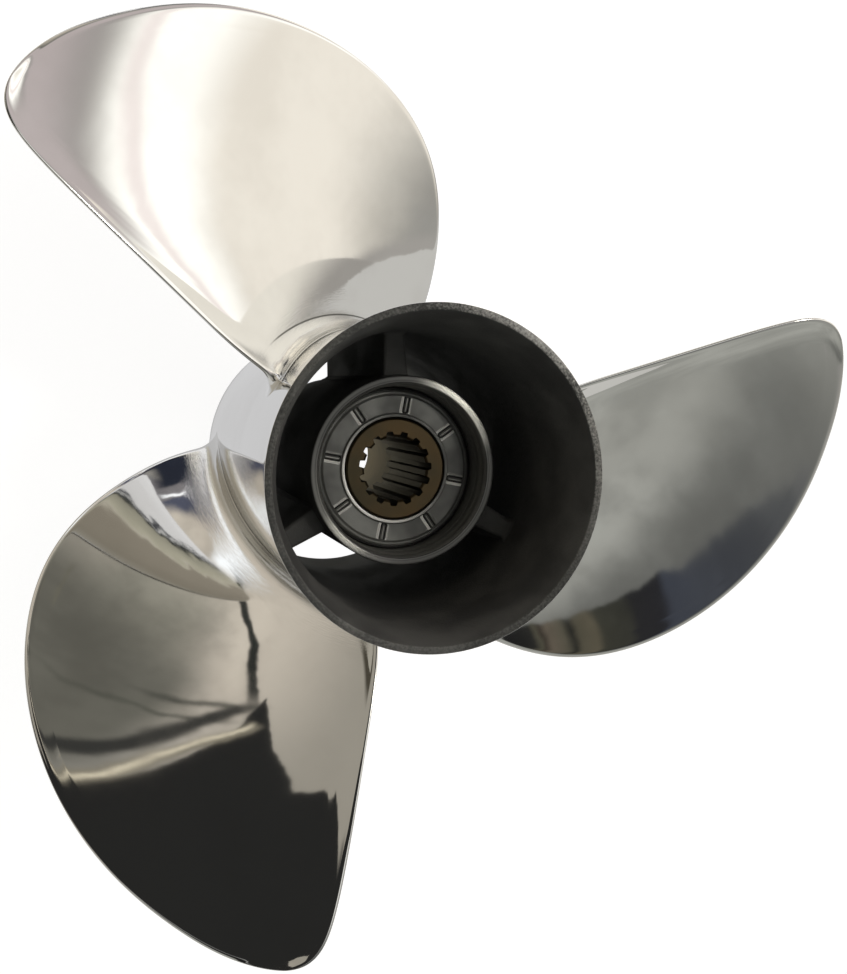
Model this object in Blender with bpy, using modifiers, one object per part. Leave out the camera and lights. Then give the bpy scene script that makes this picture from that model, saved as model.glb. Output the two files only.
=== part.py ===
"""Right-hand three-blade outboard propeller with the exhaust through its hub.

The shaft line is the Z axis and +Z points aft. The propeller stands on the front end of its barrel.
The origin is on the shaft line, at the height of the propeller's centre of volume.
"""

import math

import bmesh
import bpy
import numpy as np
from mathutils import Matrix

MM = 0.001

# Driving dimensions of the whole propeller, in millimetres and degrees
PITCH = 435.6
BLADE_COUNT = 3
FIRST_BLADE_ANGLE = 152.9
RIM_Z = 104.3
BARREL_LENGTH = 195.0
SEAT_GAP = 0.3

# The barrel: a straight tube that flares out to the aft rim
BARREL_RADIUS = 58.8
BARREL_WALL = 3.8
RIM_RADIUS = 63.2
RIM_WALL = 2.4
FLARE_LENGTH = 30.0
FLARE_STEPS = 6
EDGE_CHAMFER = 0.8
BARREL_SEGMENTS = 84

# The hub tube inside the barrel, as depths below the rim's plane
HUB_RADIUS = 37.5
HUB_FRONT_RADIUS = 36.4
HUB_BORE = 33.2
HUB_AFT_DEPTH = 48.0
HUB_FRONT_DEPTH = 178.0
HUB_BEVEL = 2.0
HUB_CHAMFER = 0.8
HUB_SEGMENTS = 60

# The webs that carry the hub tube
WEB_COUNT = 3
FIRST_WEB_ANGLE = 91.0
WEB_THICKNESS = 7.0
WEB_AFT_DEPTH = 59.0
WEB_FRONT_DEPTH = 168.0
WEB_BEVEL = 1.5

# The drive sleeve with its spline
SLEEVE_RADIUS = 20.3
SLEEVE_AFT_DEPTH = 60.5
SLEEVE_FRONT_DEPTH = 175.0
SLEEVE_CHAMFER = 0.6
SLEEVE_SEGMENTS = 60
SPLINE_TEETH = 15
SPLINE_FIRST_ANGLE = 3.0
SPLINE_MAJOR_RADIUS = 14.9
SPLINE_MINOR_RADIUS = 12.9
SPLINE_END_DEPTH = 122.0
GROOVE_ROOT_SHARE = 0.42
GROOVE_MOUTH_SHARE = 0.56
TAPER_MOUTH_RADIUS = 17.0

# The stamped plate over the bush
PLATE_RADIUS = 31.8
PLATE_BORE = 20.9
PLATE_THICKNESS = 1.4
PLATE_DEPTH = 62.2
PLATE_LIP_WIDTH = 1.2
PLATE_LIP_HEIGHT = 1.3
PLATE_STEP_RADIUS = 29.4
PLATE_STEP = 0.8
RIB_COUNT = 8
FIRST_RIB_ANGLE = 79.0
RIB_MID_RADIUS = 26.2
RIB_LENGTH = 7.0
RIB_WIDTH = 2.4
RIB_HEIGHT = 0.9
PLATE_SEGMENTS = 64

# The rubber bush
BUSH_FRONT_DEPTH = 168.0
BUSH_SEGMENTS = 48

# The blade's outline on its helical face: radius, and angle from the blade's own reference line.
# It runs from the trailing edge's root over the tip to the leading edge's root.
OUTLINE = (
    (52.0, -9.4),
    (77.0, -9.0),
    (102.0, -10.2),
    (131.0, -11.4),
    (158.0, -12.2),
    (180.0, -13.0),
    (193.0, -14.3),
    (200.5, -17.2),
    (203.2, -23.0),
    (200.6, -30.3),
    (194.7, -40.0),
    (184.6, -50.7),
    (170.9, -61.2),
    (155.8, -70.2),
    (139.6, -77.4),
    (120.5, -83.5),
    (99.5, -89.0),
    (78.9, -94.1),
    (52.0, -100.0),
)
OUTLINE_FINENESS = 40
BLADE_REFERENCE_DEPTH = 52.4
RAKE_START_RADIUS = 57.5
RAKE_SLOPE = 0.326
RAKE_CURVE = -0.00075

# The blade's thickness, the curl of its trailing edge, and the fillet round its root
ROOT_THICKNESS = 12.5
TIP_THICKNESS = 3.2
THICKNESS_FADE = 0.75
THICKNESS_SKEW = 0.9
LEADING_EDGE_THICKNESS = 2.2
TRAILING_EDGE_THICKNESS = 2.4
EDGE_ROUNDING = 2.0
CUP_LENGTH = 12.0
CUP_HEIGHT = 2.0
CUP_FADE_CHORD = 48.0
ROOT_FILLET = 9.0
FILLET_END_SHARE = 0.7
FILLET_END_ROUNDNESS = 4
BLADE_INNER_RADIUS = 55.0
TIP_MARGIN = 0.05
CHORD_SPANS = 22
FILLET_STATIONS = 5
FILLET_CROWDING = 1.5
BLADE_STATIONS = 20
STATION_CROWDING = 1.9


def clear_scene():
    for obj in list(bpy.data.objects):
        bpy.data.objects.remove(obj, do_unlink=True)


def new_collection(name):
    collection = bpy.data.collections.new(name)
    bpy.context.scene.collection.children.link(collection)
    return collection


def metal(name, color, metallic, roughness):
    material = bpy.data.materials.new(name)
    material.use_nodes = True
    shader = material.node_tree.nodes["Principled BSDF"]
    shader.inputs["Base Color"].default_value = (*color, 1.0)
    shader.inputs["Metallic"].default_value = metallic
    shader.inputs["Roughness"].default_value = roughness
    return material


def add_object(name, mesh, collection, material=None):
    obj = bpy.data.objects.new(name, mesh)
    collection.objects.link(obj)
    if material:
        mesh.materials.append(material)
    return obj


def mesh_from(bm, name):
    mesh = bpy.data.meshes.new(name)
    bm.to_mesh(mesh)
    bm.free()
    return mesh


def smooth(obj, angle=35.0):
    obj.data.shade_smooth()
    obj.data.set_sharp_from_angle(angle=math.radians(angle))


def depth(value):
    """Height, in millimetres above the origin, of a plane this far below the rim."""
    return RIM_Z - value


def turned(name, profile, segments, collection, closed=True):
    """A profile of (radius, height) turned about the shaft line. It runs down its outer side.

    A closed profile makes a ring. An open one starts and ends on the shaft line and makes a solid.
    """
    mesh = bpy.data.meshes.new(name)
    points = [(radius * MM, 0.0, height * MM) for radius, height in profile]
    count = len(points)
    edges = [(i, (i + 1) % count) for i in range(count if closed else count - 1)]
    mesh.from_pydata(points, edges, [])
    obj = add_object(name, mesh, collection)
    screw = obj.modifiers.new("Turn", "SCREW")
    screw.axis = "Z"
    screw.angle = math.tau
    screw.steps = segments
    screw.render_steps = segments
    screw.use_merge_vertices = not closed
    screw.merge_threshold = 0.0001
    screw.use_smooth_shade = False
    return obj


def hide_cutter(obj):
    obj.hide_render = True
    obj.display_type = "WIRE"


def boolean(obj, other, operation):
    modifier = obj.modifiers.new(other.name, "BOOLEAN")
    modifier.operation = operation
    modifier.solver = "EXACT"
    modifier.object = other


def rotation(angle, axis):
    return Matrix.Rotation(math.radians(angle), 3, axis)


def barrel_side(offset=0.0):
    """The barrel's outer side from the rim down to the start of the straight tube."""
    side = []
    for step in range(FLARE_STEPS, -1, -1):
        share = step / FLARE_STEPS
        radius = BARREL_RADIUS + (RIM_RADIUS - BARREL_RADIUS) * share ** 2
        side.append((radius + offset, depth(FLARE_LENGTH * (1 - share))))
    return side


def make_barrel(parts, material):
    front = depth(BARREL_LENGTH)
    outer = barrel_side()
    inner = []
    for step, (radius, height) in enumerate(reversed(outer)):
        wall = BARREL_WALL + (RIM_WALL - BARREL_WALL) * step / FLARE_STEPS
        inner.append((radius - wall, height))
    rim_radius, rim_height = outer[0]
    outer[0] = (rim_radius, rim_height - EDGE_CHAMFER)
    profile = [(rim_radius - EDGE_CHAMFER, rim_height)] + outer
    profile += [
        (BARREL_RADIUS, front + EDGE_CHAMFER),
        (BARREL_RADIUS - EDGE_CHAMFER, front),
        (BARREL_RADIUS - BARREL_WALL, front),
    ]
    obj = turned("barrel", profile + inner, BARREL_SEGMENTS, parts)
    obj.data.materials.append(material)
    smooth(obj)


def make_hub_tube(parts, material):
    top = depth(HUB_AFT_DEPTH)
    bottom = depth(HUB_FRONT_DEPTH)
    profile = [
        (HUB_RADIUS - HUB_CHAMFER, top),
        (HUB_RADIUS, top - HUB_CHAMFER),
        (HUB_FRONT_RADIUS, bottom + HUB_CHAMFER),
        (HUB_FRONT_RADIUS - HUB_CHAMFER, bottom),
        (HUB_BORE, bottom),
        (HUB_BORE, top - HUB_BEVEL),
        (HUB_BORE + HUB_BEVEL, top),
    ]
    obj = turned("hub_tube", profile, HUB_SEGMENTS, parts)
    obj.data.materials.append(material)
    smooth(obj)


def hub_radius_at(below_rim):
    """The tapered hub tube's outer radius at this depth."""
    share = (below_rim - HUB_AFT_DEPTH) / (HUB_FRONT_DEPTH - HUB_AFT_DEPTH)
    return HUB_RADIUS + (HUB_FRONT_RADIUS - HUB_RADIUS) * share


def across_passage(edge):
    """True for the four edges of a web that run from the hub tube to the barrel."""
    run = edge.verts[1].co - edge.verts[0].co
    return abs(run.x) > abs(run.y) and abs(run.x) > abs(run.z)


def web_mesh():
    """A web along +X whose inner side follows the hub tube's taper."""
    half = WEB_THICKNESS / 2
    outer = math.sqrt((BARREL_RADIUS - BARREL_WALL - SEAT_GAP) ** 2 - half ** 2)
    bm = bmesh.new()
    bmesh.ops.create_cube(bm, size=1.0)
    for vert in bm.verts:
        below_rim = WEB_AFT_DEPTH if vert.co.z > 0 else WEB_FRONT_DEPTH
        inner = hub_radius_at(below_rim) + SEAT_GAP
        vert.co.x = (outer if vert.co.x > 0 else inner) * MM
        vert.co.y = math.copysign(half, vert.co.y) * MM
        vert.co.z = depth(below_rim) * MM
    ends = [edge for edge in bm.edges if across_passage(edge)]
    bmesh.ops.bevel(bm, geom=ends, offset=WEB_BEVEL * MM, segments=2, profile=0.5, affect="EDGES")
    return mesh_from(bm, "web")


def make_webs(parts, material):
    for number in range(WEB_COUNT):
        obj = add_object(f"web_{number + 1}", web_mesh(), parts, material)
        obj.rotation_euler.z = math.radians(FIRST_WEB_ANGLE + 360 / WEB_COUNT * number)
        smooth(obj)


def make_bush(parts, material):
    top = depth(PLATE_DEPTH + PLATE_STEP + PLATE_THICKNESS + SEAT_GAP)
    bottom = depth(BUSH_FRONT_DEPTH)
    profile = [
        (HUB_BORE - SEAT_GAP, top),
        (HUB_BORE - SEAT_GAP, bottom),
        (SLEEVE_RADIUS + SEAT_GAP, bottom),
        (SLEEVE_RADIUS + SEAT_GAP, top),
    ]
    obj = turned("rubber_bush", profile, BUSH_SEGMENTS, parts)
    obj.data.materials.append(material)
    smooth(obj)


def plate_ribs(cutters):
    """All the plate's ribs in one mesh, each a ball drawn out along the radius."""
    stretch = (RIB_LENGTH - RIB_WIDTH) / 2
    bm = bmesh.new()
    for number in range(RIB_COUNT):
        made = bmesh.ops.create_uvsphere(bm, u_segments=12, v_segments=8, radius=1.0)["verts"]
        bmesh.ops.rotate(bm, verts=made, matrix=rotation(90.0, "Y"))
        for vert in made:
            shift = math.copysign(stretch, vert.co.x) if abs(vert.co.x) > 0.01 else 0.0
            vert.co.x = vert.co.x * RIB_WIDTH / 2 + shift + RIB_MID_RADIUS
            vert.co.y *= RIB_WIDTH / 2
            vert.co.z = vert.co.z * RIB_HEIGHT + depth(PLATE_DEPTH)
        turn = rotation(FIRST_RIB_ANGLE - 360 / RIB_COUNT * number, "Z")
        bmesh.ops.rotate(bm, verts=made, matrix=turn)
    bmesh.ops.scale(bm, vec=(MM, MM, MM), verts=bm.verts)
    bmesh.ops.recalc_face_normals(bm, faces=bm.faces)
    obj = add_object("plate_ribs", mesh_from(bm, "plate_ribs"), cutters)
    hide_cutter(obj)
    return obj


def make_plate(parts, cutters, material):
    face = depth(PLATE_DEPTH)
    back = face - PLATE_THICKNESS
    lip = face + PLATE_LIP_HEIGHT
    profile = [
        (PLATE_BORE, lip),
        (PLATE_BORE + PLATE_LIP_WIDTH, lip),
        (PLATE_BORE + PLATE_LIP_WIDTH, face),
        (PLATE_STEP_RADIUS, face),
        (PLATE_STEP_RADIUS + PLATE_STEP, face - PLATE_STEP),
        (PLATE_RADIUS - PLATE_STEP, face - PLATE_STEP),
        (PLATE_RADIUS, face - 2 * PLATE_STEP),
        (PLATE_RADIUS, back - PLATE_STEP),
        (PLATE_STEP_RADIUS, back - PLATE_STEP),
        (PLATE_STEP_RADIUS - PLATE_STEP, back),
        (PLATE_BORE, back),
    ]
    obj = turned("retainer_plate", profile, PLATE_SEGMENTS, parts)
    obj.data.materials.append(material)
    boolean(obj, plate_ribs(cutters), "UNION")
    smooth(obj)


def spline_outline():
    """Points round the spline's section: each groove is cut to the major radius with sloping flanks."""
    half_step = math.pi / SPLINE_TEETH
    points = []
    for tooth in range(SPLINE_TEETH):
        middle = math.radians(SPLINE_FIRST_ANGLE) + 2 * half_step * tooth
        for radius, share in (
            (SPLINE_MINOR_RADIUS, -GROOVE_MOUTH_SHARE),
            (SPLINE_MAJOR_RADIUS, -GROOVE_ROOT_SHARE),
            (SPLINE_MAJOR_RADIUS, GROOVE_ROOT_SHARE),
            (SPLINE_MINOR_RADIUS, GROOVE_MOUTH_SHARE),
        ):
            angle = middle + half_step * share
            points.append((radius * math.cos(angle), radius * math.sin(angle)))
    return points


def spline_cutter(cutters):
    bm = bmesh.new()
    low = depth(SPLINE_END_DEPTH)
    high = depth(HUB_AFT_DEPTH)
    ring = [bm.verts.new((x * MM, y * MM, low * MM)) for x, y in spline_outline()]
    face = bm.faces.new(ring)
    raised = bmesh.ops.extrude_face_region(bm, geom=[face])["geom"]
    moved = [item for item in raised if isinstance(item, bmesh.types.BMVert)]
    bmesh.ops.translate(bm, vec=(0.0, 0.0, (high - low) * MM), verts=moved)
    bmesh.ops.recalc_face_normals(bm, faces=bm.faces)
    obj = add_object("spline_section", mesh_from(bm, "spline_section"), cutters)
    hide_cutter(obj)
    return obj


def make_sleeve(parts, cutters, material):
    top = depth(SLEEVE_AFT_DEPTH)
    bottom = depth(SLEEVE_FRONT_DEPTH)
    spline_end = depth(SPLINE_END_DEPTH)
    pilot = SPLINE_MINOR_RADIUS - 2 * SEAT_GAP
    profile = [
        (SLEEVE_RADIUS - SLEEVE_CHAMFER, top),
        (SLEEVE_RADIUS, top - SLEEVE_CHAMFER),
        (SLEEVE_RADIUS, bottom + SLEEVE_CHAMFER),
        (SLEEVE_RADIUS - SLEEVE_CHAMFER, bottom),
        (TAPER_MOUTH_RADIUS, bottom),
        (SPLINE_MAJOR_RADIUS + SEAT_GAP, spline_end),
        (pilot, spline_end),
        (pilot, top),
    ]
    obj = turned("spline_sleeve", profile, SLEEVE_SEGMENTS, parts)
    obj.data.materials.append(material)
    boolean(obj, spline_cutter(cutters), "DIFFERENCE")
    smooth(obj)


def natural_spline(values, samples):
    """A smooth curve through the given values, one for each whole number, read at the samples."""
    values = np.asarray(values, float)
    count = len(values)
    matrix = np.eye(count)
    right = np.zeros(count)
    for i in range(1, count - 1):
        matrix[i, i - 1 : i + 2] = (1.0, 4.0, 1.0)
        right[i] = 6.0 * (values[i - 1] - 2.0 * values[i] + values[i + 1])
    bend = np.linalg.solve(matrix, right)
    left = np.minimum(samples.astype(int), count - 2)
    after = samples - left
    before = 1 - after
    straight = values[left] * before + values[left + 1] * after
    curved = (before ** 3 - before) * bend[left] + (after ** 3 - after) * bend[left + 1]
    return straight + curved / 6


def smooth_outline():
    """The blade's outline as many radii and angles in radians, and the place of its tip among them."""
    samples = np.linspace(0, len(OUTLINE) - 1, OUTLINE_FINENESS * len(OUTLINE))
    radii = natural_spline([radius for radius, _ in OUTLINE], samples)
    angles = np.radians(natural_spline([angle for _, angle in OUTLINE], samples))
    return radii, angles, int(np.argmax(radii))


def blade_radii(tip_radius):
    """Radii of the sections, closer together in the root fillet and towards the tip."""
    radii = [BLADE_INNER_RADIUS]
    for i in range(FILLET_STATIONS):
        radii.append(BARREL_RADIUS + ROOT_FILLET * (i / FILLET_STATIONS) ** FILLET_CROWDING)
    start = BARREL_RADIUS + ROOT_FILLET
    end = tip_radius - TIP_MARGIN
    for i in range(BLADE_STATIONS + 1):
        share = i / BLADE_STATIONS
        radii.append(start + (end - start) * (1 - (1 - share) ** STATION_CROWDING))
    return radii


def rake(radius):
    run = radius - RAKE_START_RADIUS
    return RAKE_SLOPE * run + RAKE_CURVE * run ** 2


def fillet_spread(radius):
    """How far the root fillet stands out from the blade's faces at this radius."""
    height = min(max(radius - BARREL_RADIUS, 0.0), ROOT_FILLET)
    return ROOT_FILLET - math.sqrt(ROOT_FILLET ** 2 - (ROOT_FILLET - height) ** 2)


def on_cylinder(radius, run, lift):
    """A point this far along the helix of this radius, and lifted square to it."""
    advance = PITCH / math.tau
    along = math.hypot(radius, advance)
    angle = run / along - lift * advance / (along * radius)
    height = run * advance / along + lift * radius / along + rake(radius)
    return (
        radius * math.cos(angle),
        radius * math.sin(angle),
        height + depth(BLADE_REFERENCE_DEPTH),
    )


def blade_section(radius, outline):
    """The closed section on the cylinder of this radius, as points in millimetres."""
    radii, angles, tip = outline
    end_angle = float(np.interp(radius, radii[: tip + 1], angles[: tip + 1]))
    start_angle = float(np.interp(radius, radii[tip:][::-1], angles[tip:][::-1]))
    along = math.hypot(radius, PITCH / math.tau)
    chord = (end_angle - start_angle) * along
    spread = fillet_spread(radius)
    share = (radius - BARREL_RADIUS) / (radii[tip] - BARREL_RADIUS)
    fade = 1 - min(max(share, 0.0), 1.0) ** THICKNESS_FADE
    thickest = TIP_THICKNESS + (ROOT_THICKNESS - TIP_THICKNESS) * fade
    pressure = []
    suction = []
    for i in range(CHORD_SPANS + 1):
        place = (1 - math.cos(math.pi * i / CHORD_SPANS)) / 2
        edge = LEADING_EDGE_THICKNESS + (TRAILING_EDGE_THICKNESS - LEADING_EDGE_THICKNESS) * place
        hump = math.sin(math.pi * place ** THICKNESS_SKEW) if 0 < i < CHORD_SPANS else 0.0
        thickness = edge + (thickest - edge) * hump
        angle = start_angle + (end_angle - start_angle) * place
        outer = float(np.interp(angle, angles[::-1], radii[::-1])) - radius
        inset = edge_distance(min(place, 1 - place) * chord, outer)
        rounding = math.sqrt(1 - (1 - min(inset / EDGE_ROUNDING, 1.0)) ** 2)
        foot = spread * (1 - abs(2 * place - 1) ** FILLET_END_ROUNDNESS) ** (1 / FILLET_END_ROUNDNESS)
        cup = CUP_HEIGHT * max(0.0, 1 - (1 - place) * chord / CUP_LENGTH) ** 2
        cup *= min(1.0, chord / CUP_FADE_CHORD)
        half = thickness / 2
        middle = cup - half
        run = (place - 0.5) * (chord + 2 * spread * FILLET_END_SHARE)
        run += (start_angle + end_angle) / 2 * along
        pressure.append(on_cylinder(radius, run, middle + half * rounding + foot))
        suction.append(on_cylinder(radius, run, middle - half * rounding - foot))
    return pressure + suction[-2:0:-1]


def edge_distance(along_chord, outwards):
    """The distance to the outline of a point this far from it along the chord and along the radius."""
    if along_chord <= 0 or outwards <= 0:
        return 0.0
    return along_chord * outwards / math.hypot(along_chord, outwards)


def blade_mesh():
    """The blade as a loft through its sections, closed at the root and at the tip."""
    outline = smooth_outline()
    radii, _, tip = outline
    bm = bmesh.new()
    rings = []
    for radius in blade_radii(float(radii[tip])):
        section = blade_section(radius, outline)
        rings.append([bm.verts.new([value * MM for value in point]) for point in section])
    count = 2 * CHORD_SPANS
    for lower, upper in zip(rings, rings[1:]):
        for i in range(count):
            j = (i + 1) % count
            bm.faces.new((lower[i], lower[j], upper[j], upper[i]))
    for ring in (rings[0], rings[-1]):
        bm.faces.new((ring[0], ring[1], ring[count - 1]))
        for i in range(1, CHORD_SPANS - 1):
            bm.faces.new((ring[i], ring[i + 1], ring[count - i - 1], ring[count - i]))
        bm.faces.new((ring[CHORD_SPANS - 1], ring[CHORD_SPANS], ring[CHORD_SPANS + 1]))
    bmesh.ops.recalc_face_normals(bm, faces=bm.faces)
    return mesh_from(bm, "blade")


def barrel_envelope(cutters):
    """The barrel's outer form with the seat gap added, which trims the blades' roots."""
    side = barrel_side(SEAT_GAP)
    rim_radius = side[0][0]
    tube_radius = side[-1][0]
    profile = [(0.0, depth(-ROOT_FILLET)), (rim_radius, depth(-ROOT_FILLET))] + side
    bottom = depth(BARREL_LENGTH + ROOT_FILLET)
    profile += [(tube_radius, bottom), (0.0, bottom)]
    obj = turned("barrel_envelope", profile, BARREL_SEGMENTS, cutters, closed=False)
    hide_cutter(obj)
    return obj


def make_blades(parts, cutters, material):
    envelope = barrel_envelope(cutters)
    for number in range(BLADE_COUNT):
        obj = add_object(f"blade_{number + 1}", blade_mesh(), parts, material)
        obj.rotation_euler.z = math.radians(FIRST_BLADE_ANGLE - 360 / BLADE_COUNT * number)
        boolean(obj, envelope, "DIFFERENCE")
        smooth(obj)


def main():
    clear_scene()
    parts = new_collection("propeller")
    cutters = new_collection("cutters")
    polished = metal("polished_steel", (0.78, 0.77, 0.74), 1.0, 0.08)
    cast = metal("cast_steel", (0.10, 0.10, 0.10), 0.6, 0.6)
    satin = metal("satin_steel", (0.32, 0.32, 0.31), 1.0, 0.35)
    rubber = metal("rubber", (0.02, 0.02, 0.02), 0.0, 0.7)
    bronze = metal("bronze", (0.24, 0.18, 0.10), 0.9, 0.45)
    make_barrel(parts, polished)
    make_hub_tube(parts, satin)
    make_webs(parts, cast)
    make_blades(parts, cutters, polished)
    make_bush(parts, rubber)
    make_plate(parts, cutters, satin)
    make_sleeve(parts, cutters, bronze)


main()
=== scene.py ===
# Dresses a right-hand, three-blade outboard propeller: polished casting, dark passages, plate and spline.
import bpy
import math
import numpy as np
from mathutils import Matrix, Vector, noise


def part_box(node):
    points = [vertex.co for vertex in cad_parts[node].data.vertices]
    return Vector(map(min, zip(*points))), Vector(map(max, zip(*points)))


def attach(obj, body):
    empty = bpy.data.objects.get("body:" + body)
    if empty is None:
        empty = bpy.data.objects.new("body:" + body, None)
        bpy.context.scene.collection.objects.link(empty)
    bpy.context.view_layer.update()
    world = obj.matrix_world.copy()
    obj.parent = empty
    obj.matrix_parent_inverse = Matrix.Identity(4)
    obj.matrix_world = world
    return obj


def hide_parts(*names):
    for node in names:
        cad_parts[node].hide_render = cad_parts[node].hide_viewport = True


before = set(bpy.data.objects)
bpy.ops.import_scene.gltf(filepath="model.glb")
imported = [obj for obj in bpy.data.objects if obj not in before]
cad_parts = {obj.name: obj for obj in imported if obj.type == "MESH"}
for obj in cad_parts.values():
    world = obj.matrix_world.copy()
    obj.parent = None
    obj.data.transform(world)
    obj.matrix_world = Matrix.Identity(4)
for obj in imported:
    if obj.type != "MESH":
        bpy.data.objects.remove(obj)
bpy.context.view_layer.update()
mm = 0.001  # sizes below are in millimetres, angles in degrees

# Heights that several pieces share, read from the frame
barrelLow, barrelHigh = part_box("barrel")
rimZ = barrelHigh[2] / mm
frontZ = barrelLow[2] / mm
hubLow, hubHigh = (corner[2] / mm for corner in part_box("hub_tube"))
webLow, webHigh = (corner[2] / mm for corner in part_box("web_1"))
sleeveLow, sleeveHigh = (corner[2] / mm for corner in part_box("spline_sleeve"))
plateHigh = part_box("retainer_plate")[1][2] / mm
bushLow, bushHigh = (corner[2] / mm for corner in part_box("rubber_bush"))


# Small helpers for modelling by operator

def setMode(mode):
    bpy.ops.object.mode_set(mode=mode)


def deselectAll():
    if bpy.context.object and bpy.context.object.mode != "OBJECT":
        setMode("OBJECT")
    bpy.ops.object.select_all(action="DESELECT")


def useOnly(obj):
    deselectAll()
    obj.select_set(True)
    bpy.context.view_layer.objects.active = obj


def settlePlace(obj):
    useOnly(obj)
    bpy.ops.object.transform_apply(location=True, rotation=True, scale=True)


def roundEdges(obj, width, segments=3, angle=32):
    useOnly(obj)
    bevel = obj.modifiers.new("Bevel", "BEVEL")
    bevel.width = width * mm
    bevel.segments = segments
    bevel.limit_method = "ANGLE"
    bevel.angle_limit = math.radians(angle)
    bpy.ops.object.modifier_apply(modifier=bevel.name)


def smoothFaces(obj, angle=40):
    useOnly(obj)
    bpy.ops.object.shade_smooth_by_angle(angle=math.radians(angle))


def settlePiece(obj, name, slotName, *nodes):
    # names the piece, sets its origin and its ride, and hides the nodes it stands for
    settlePlace(obj)
    obj.name = name
    obj.data.name = name
    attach(obj, "root")
    if nodes:
        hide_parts(*nodes)
    print("made", name, len(obj.data.polygons), "faces")
    return obj


def turnPiece(name, profile, segments):
    # a ring drawn out and resized from one height to the next, and closed on itself
    deselectAll()
    radius, height = profile[0]
    bpy.ops.mesh.primitive_circle_add(
        vertices=segments, radius=radius * mm, location=(0, 0, height * mm), fill_type="NOTHING"
    )
    obj = bpy.context.object
    obj.name = name
    settlePlace(obj)
    setMode("EDIT")
    bpy.ops.mesh.select_all(action="SELECT")
    for nextRadius, nextHeight in profile[1:] + profile[:1]:
        bpy.ops.mesh.extrude_region_move(
            TRANSFORM_OT_translate={"value": (0, 0, (nextHeight - height) * mm)}
        )
        share = nextRadius / radius
        bpy.ops.transform.resize(value=(share, share, 1), center_override=(0, 0, 0))
        radius, height = nextRadius, nextHeight
    bpy.ops.mesh.select_all(action="SELECT")
    bpy.ops.mesh.remove_doubles(threshold=0.000002)
    bpy.ops.mesh.normals_make_consistent(inside=False)
    setMode("OBJECT")
    return obj


def paintFaces(obj, materials, chooser):
    # gives each face the material that its middle's radius, height and normal call for
    for material in materials:
        obj.data.materials.append(material)
    for face in obj.data.polygons:
        middle = face.center
        radius = math.hypot(middle.x, middle.y) / mm
        face.material_index = chooser(radius, middle.z / mm, face.normal)


# Node helpers. A value may be a number or another node's output.
nodeGrid = {"columns": 12, "stepX": 220, "stepY": 340}


def feed(tree, socket, value):
    if hasattr(value, "is_output"):
        tree.links.new(value, socket)
    else:
        socket.default_value = value


def addNode(tree, kind, **values):
    # the nodes stand in rows, in the order in which they are made
    node = tree.nodes.new(kind)
    row, column = divmod(len(tree.nodes) - 1, nodeGrid["columns"])
    node.location = (column * nodeGrid["stepX"], -row * nodeGrid["stepY"])
    for key, value in values.items():
        if key in node.inputs:
            feed(tree, node.inputs[key], value)
        else:
            setattr(node, key, value)
    return node


def mathNode(tree, operation, *values):
    node = addNode(tree, "ShaderNodeMath", operation=operation)
    for socket, value in zip(node.inputs, values):
        feed(tree, socket, value)
    return node.outputs[0]


def remap(tree, value, low, high, toLow=0.0, toHigh=1.0, smooth=True):
    kind = "SMOOTHSTEP" if smooth else "LINEAR"
    node = addNode(tree, "ShaderNodeMapRange", interpolation_type=kind, Value=value)
    ends = {"From Min": low, "From Max": high, "To Min": toLow, "To Max": toHigh}
    for key, number in ends.items():
        feed(tree, node.inputs[key], number)
    return node.outputs["Result"]


def mixColours(tree, factor, first, second):
    node = addNode(tree, "ShaderNodeMix", data_type="RGBA")
    feed(tree, node.inputs[0], factor)
    for socket, value in ((node.inputs[6], first), (node.inputs[7], second)):
        feed(tree, socket, (*value, 1.0) if isinstance(value, tuple) else value)
    return node.outputs[2]


def mixLights(tree, factor, first, second):
    mix = addNode(tree, "ShaderNodeMixShader")
    for socket, value in zip(mix.inputs, (factor, first, second)):
        feed(tree, socket, value)
    return mix.outputs[0]


def addNoise(tree, place, scale, detail, roughness=0.5):
    node = addNode(tree, "ShaderNodeTexNoise", Vector=place, Scale=scale, Detail=detail, Roughness=roughness)
    return node.outputs


def placeParts(tree):
    # a point's own coordinates, their three parts, and its distance from the shaft line
    place = addNode(tree, "ShaderNodeTexCoord").outputs["Object"]
    parts = addNode(tree, "ShaderNodeSeparateXYZ", Vector=place).outputs
    squareX = mathNode(tree, "MULTIPLY", parts[0], parts[0])
    squareY = mathNode(tree, "MULTIPLY", parts[1], parts[1])
    total = mathNode(tree, "ADD", squareX, squareY)
    return place, parts, mathNode(tree, "SQRT", total)


def newGroup(name, inputs, outputs):
    # a group with numbers in and out, and the sockets of its two end nodes
    group = bpy.data.node_groups.new(name, "ShaderNodeTree")
    for label, value in inputs.items():
        socket = group.interface.new_socket(name=label, in_out="INPUT", socket_type="NodeSocketFloat")
        socket.default_value = value
    for label in outputs:
        group.interface.new_socket(name=label, in_out="OUTPUT", socket_type="NodeSocketFloat")
    start = addNode(group, "NodeGroupInput")
    end = addNode(group, "NodeGroupOutput")
    return group, start.outputs, end.inputs


def placeGroup(tree, group, **values):
    return addNode(tree, "ShaderNodeGroup", node_tree=group, **values)


# Shared surface effects, as node groups

litAngle = math.radians(47)  # the side where a highlight is painted on the turned faces


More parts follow.
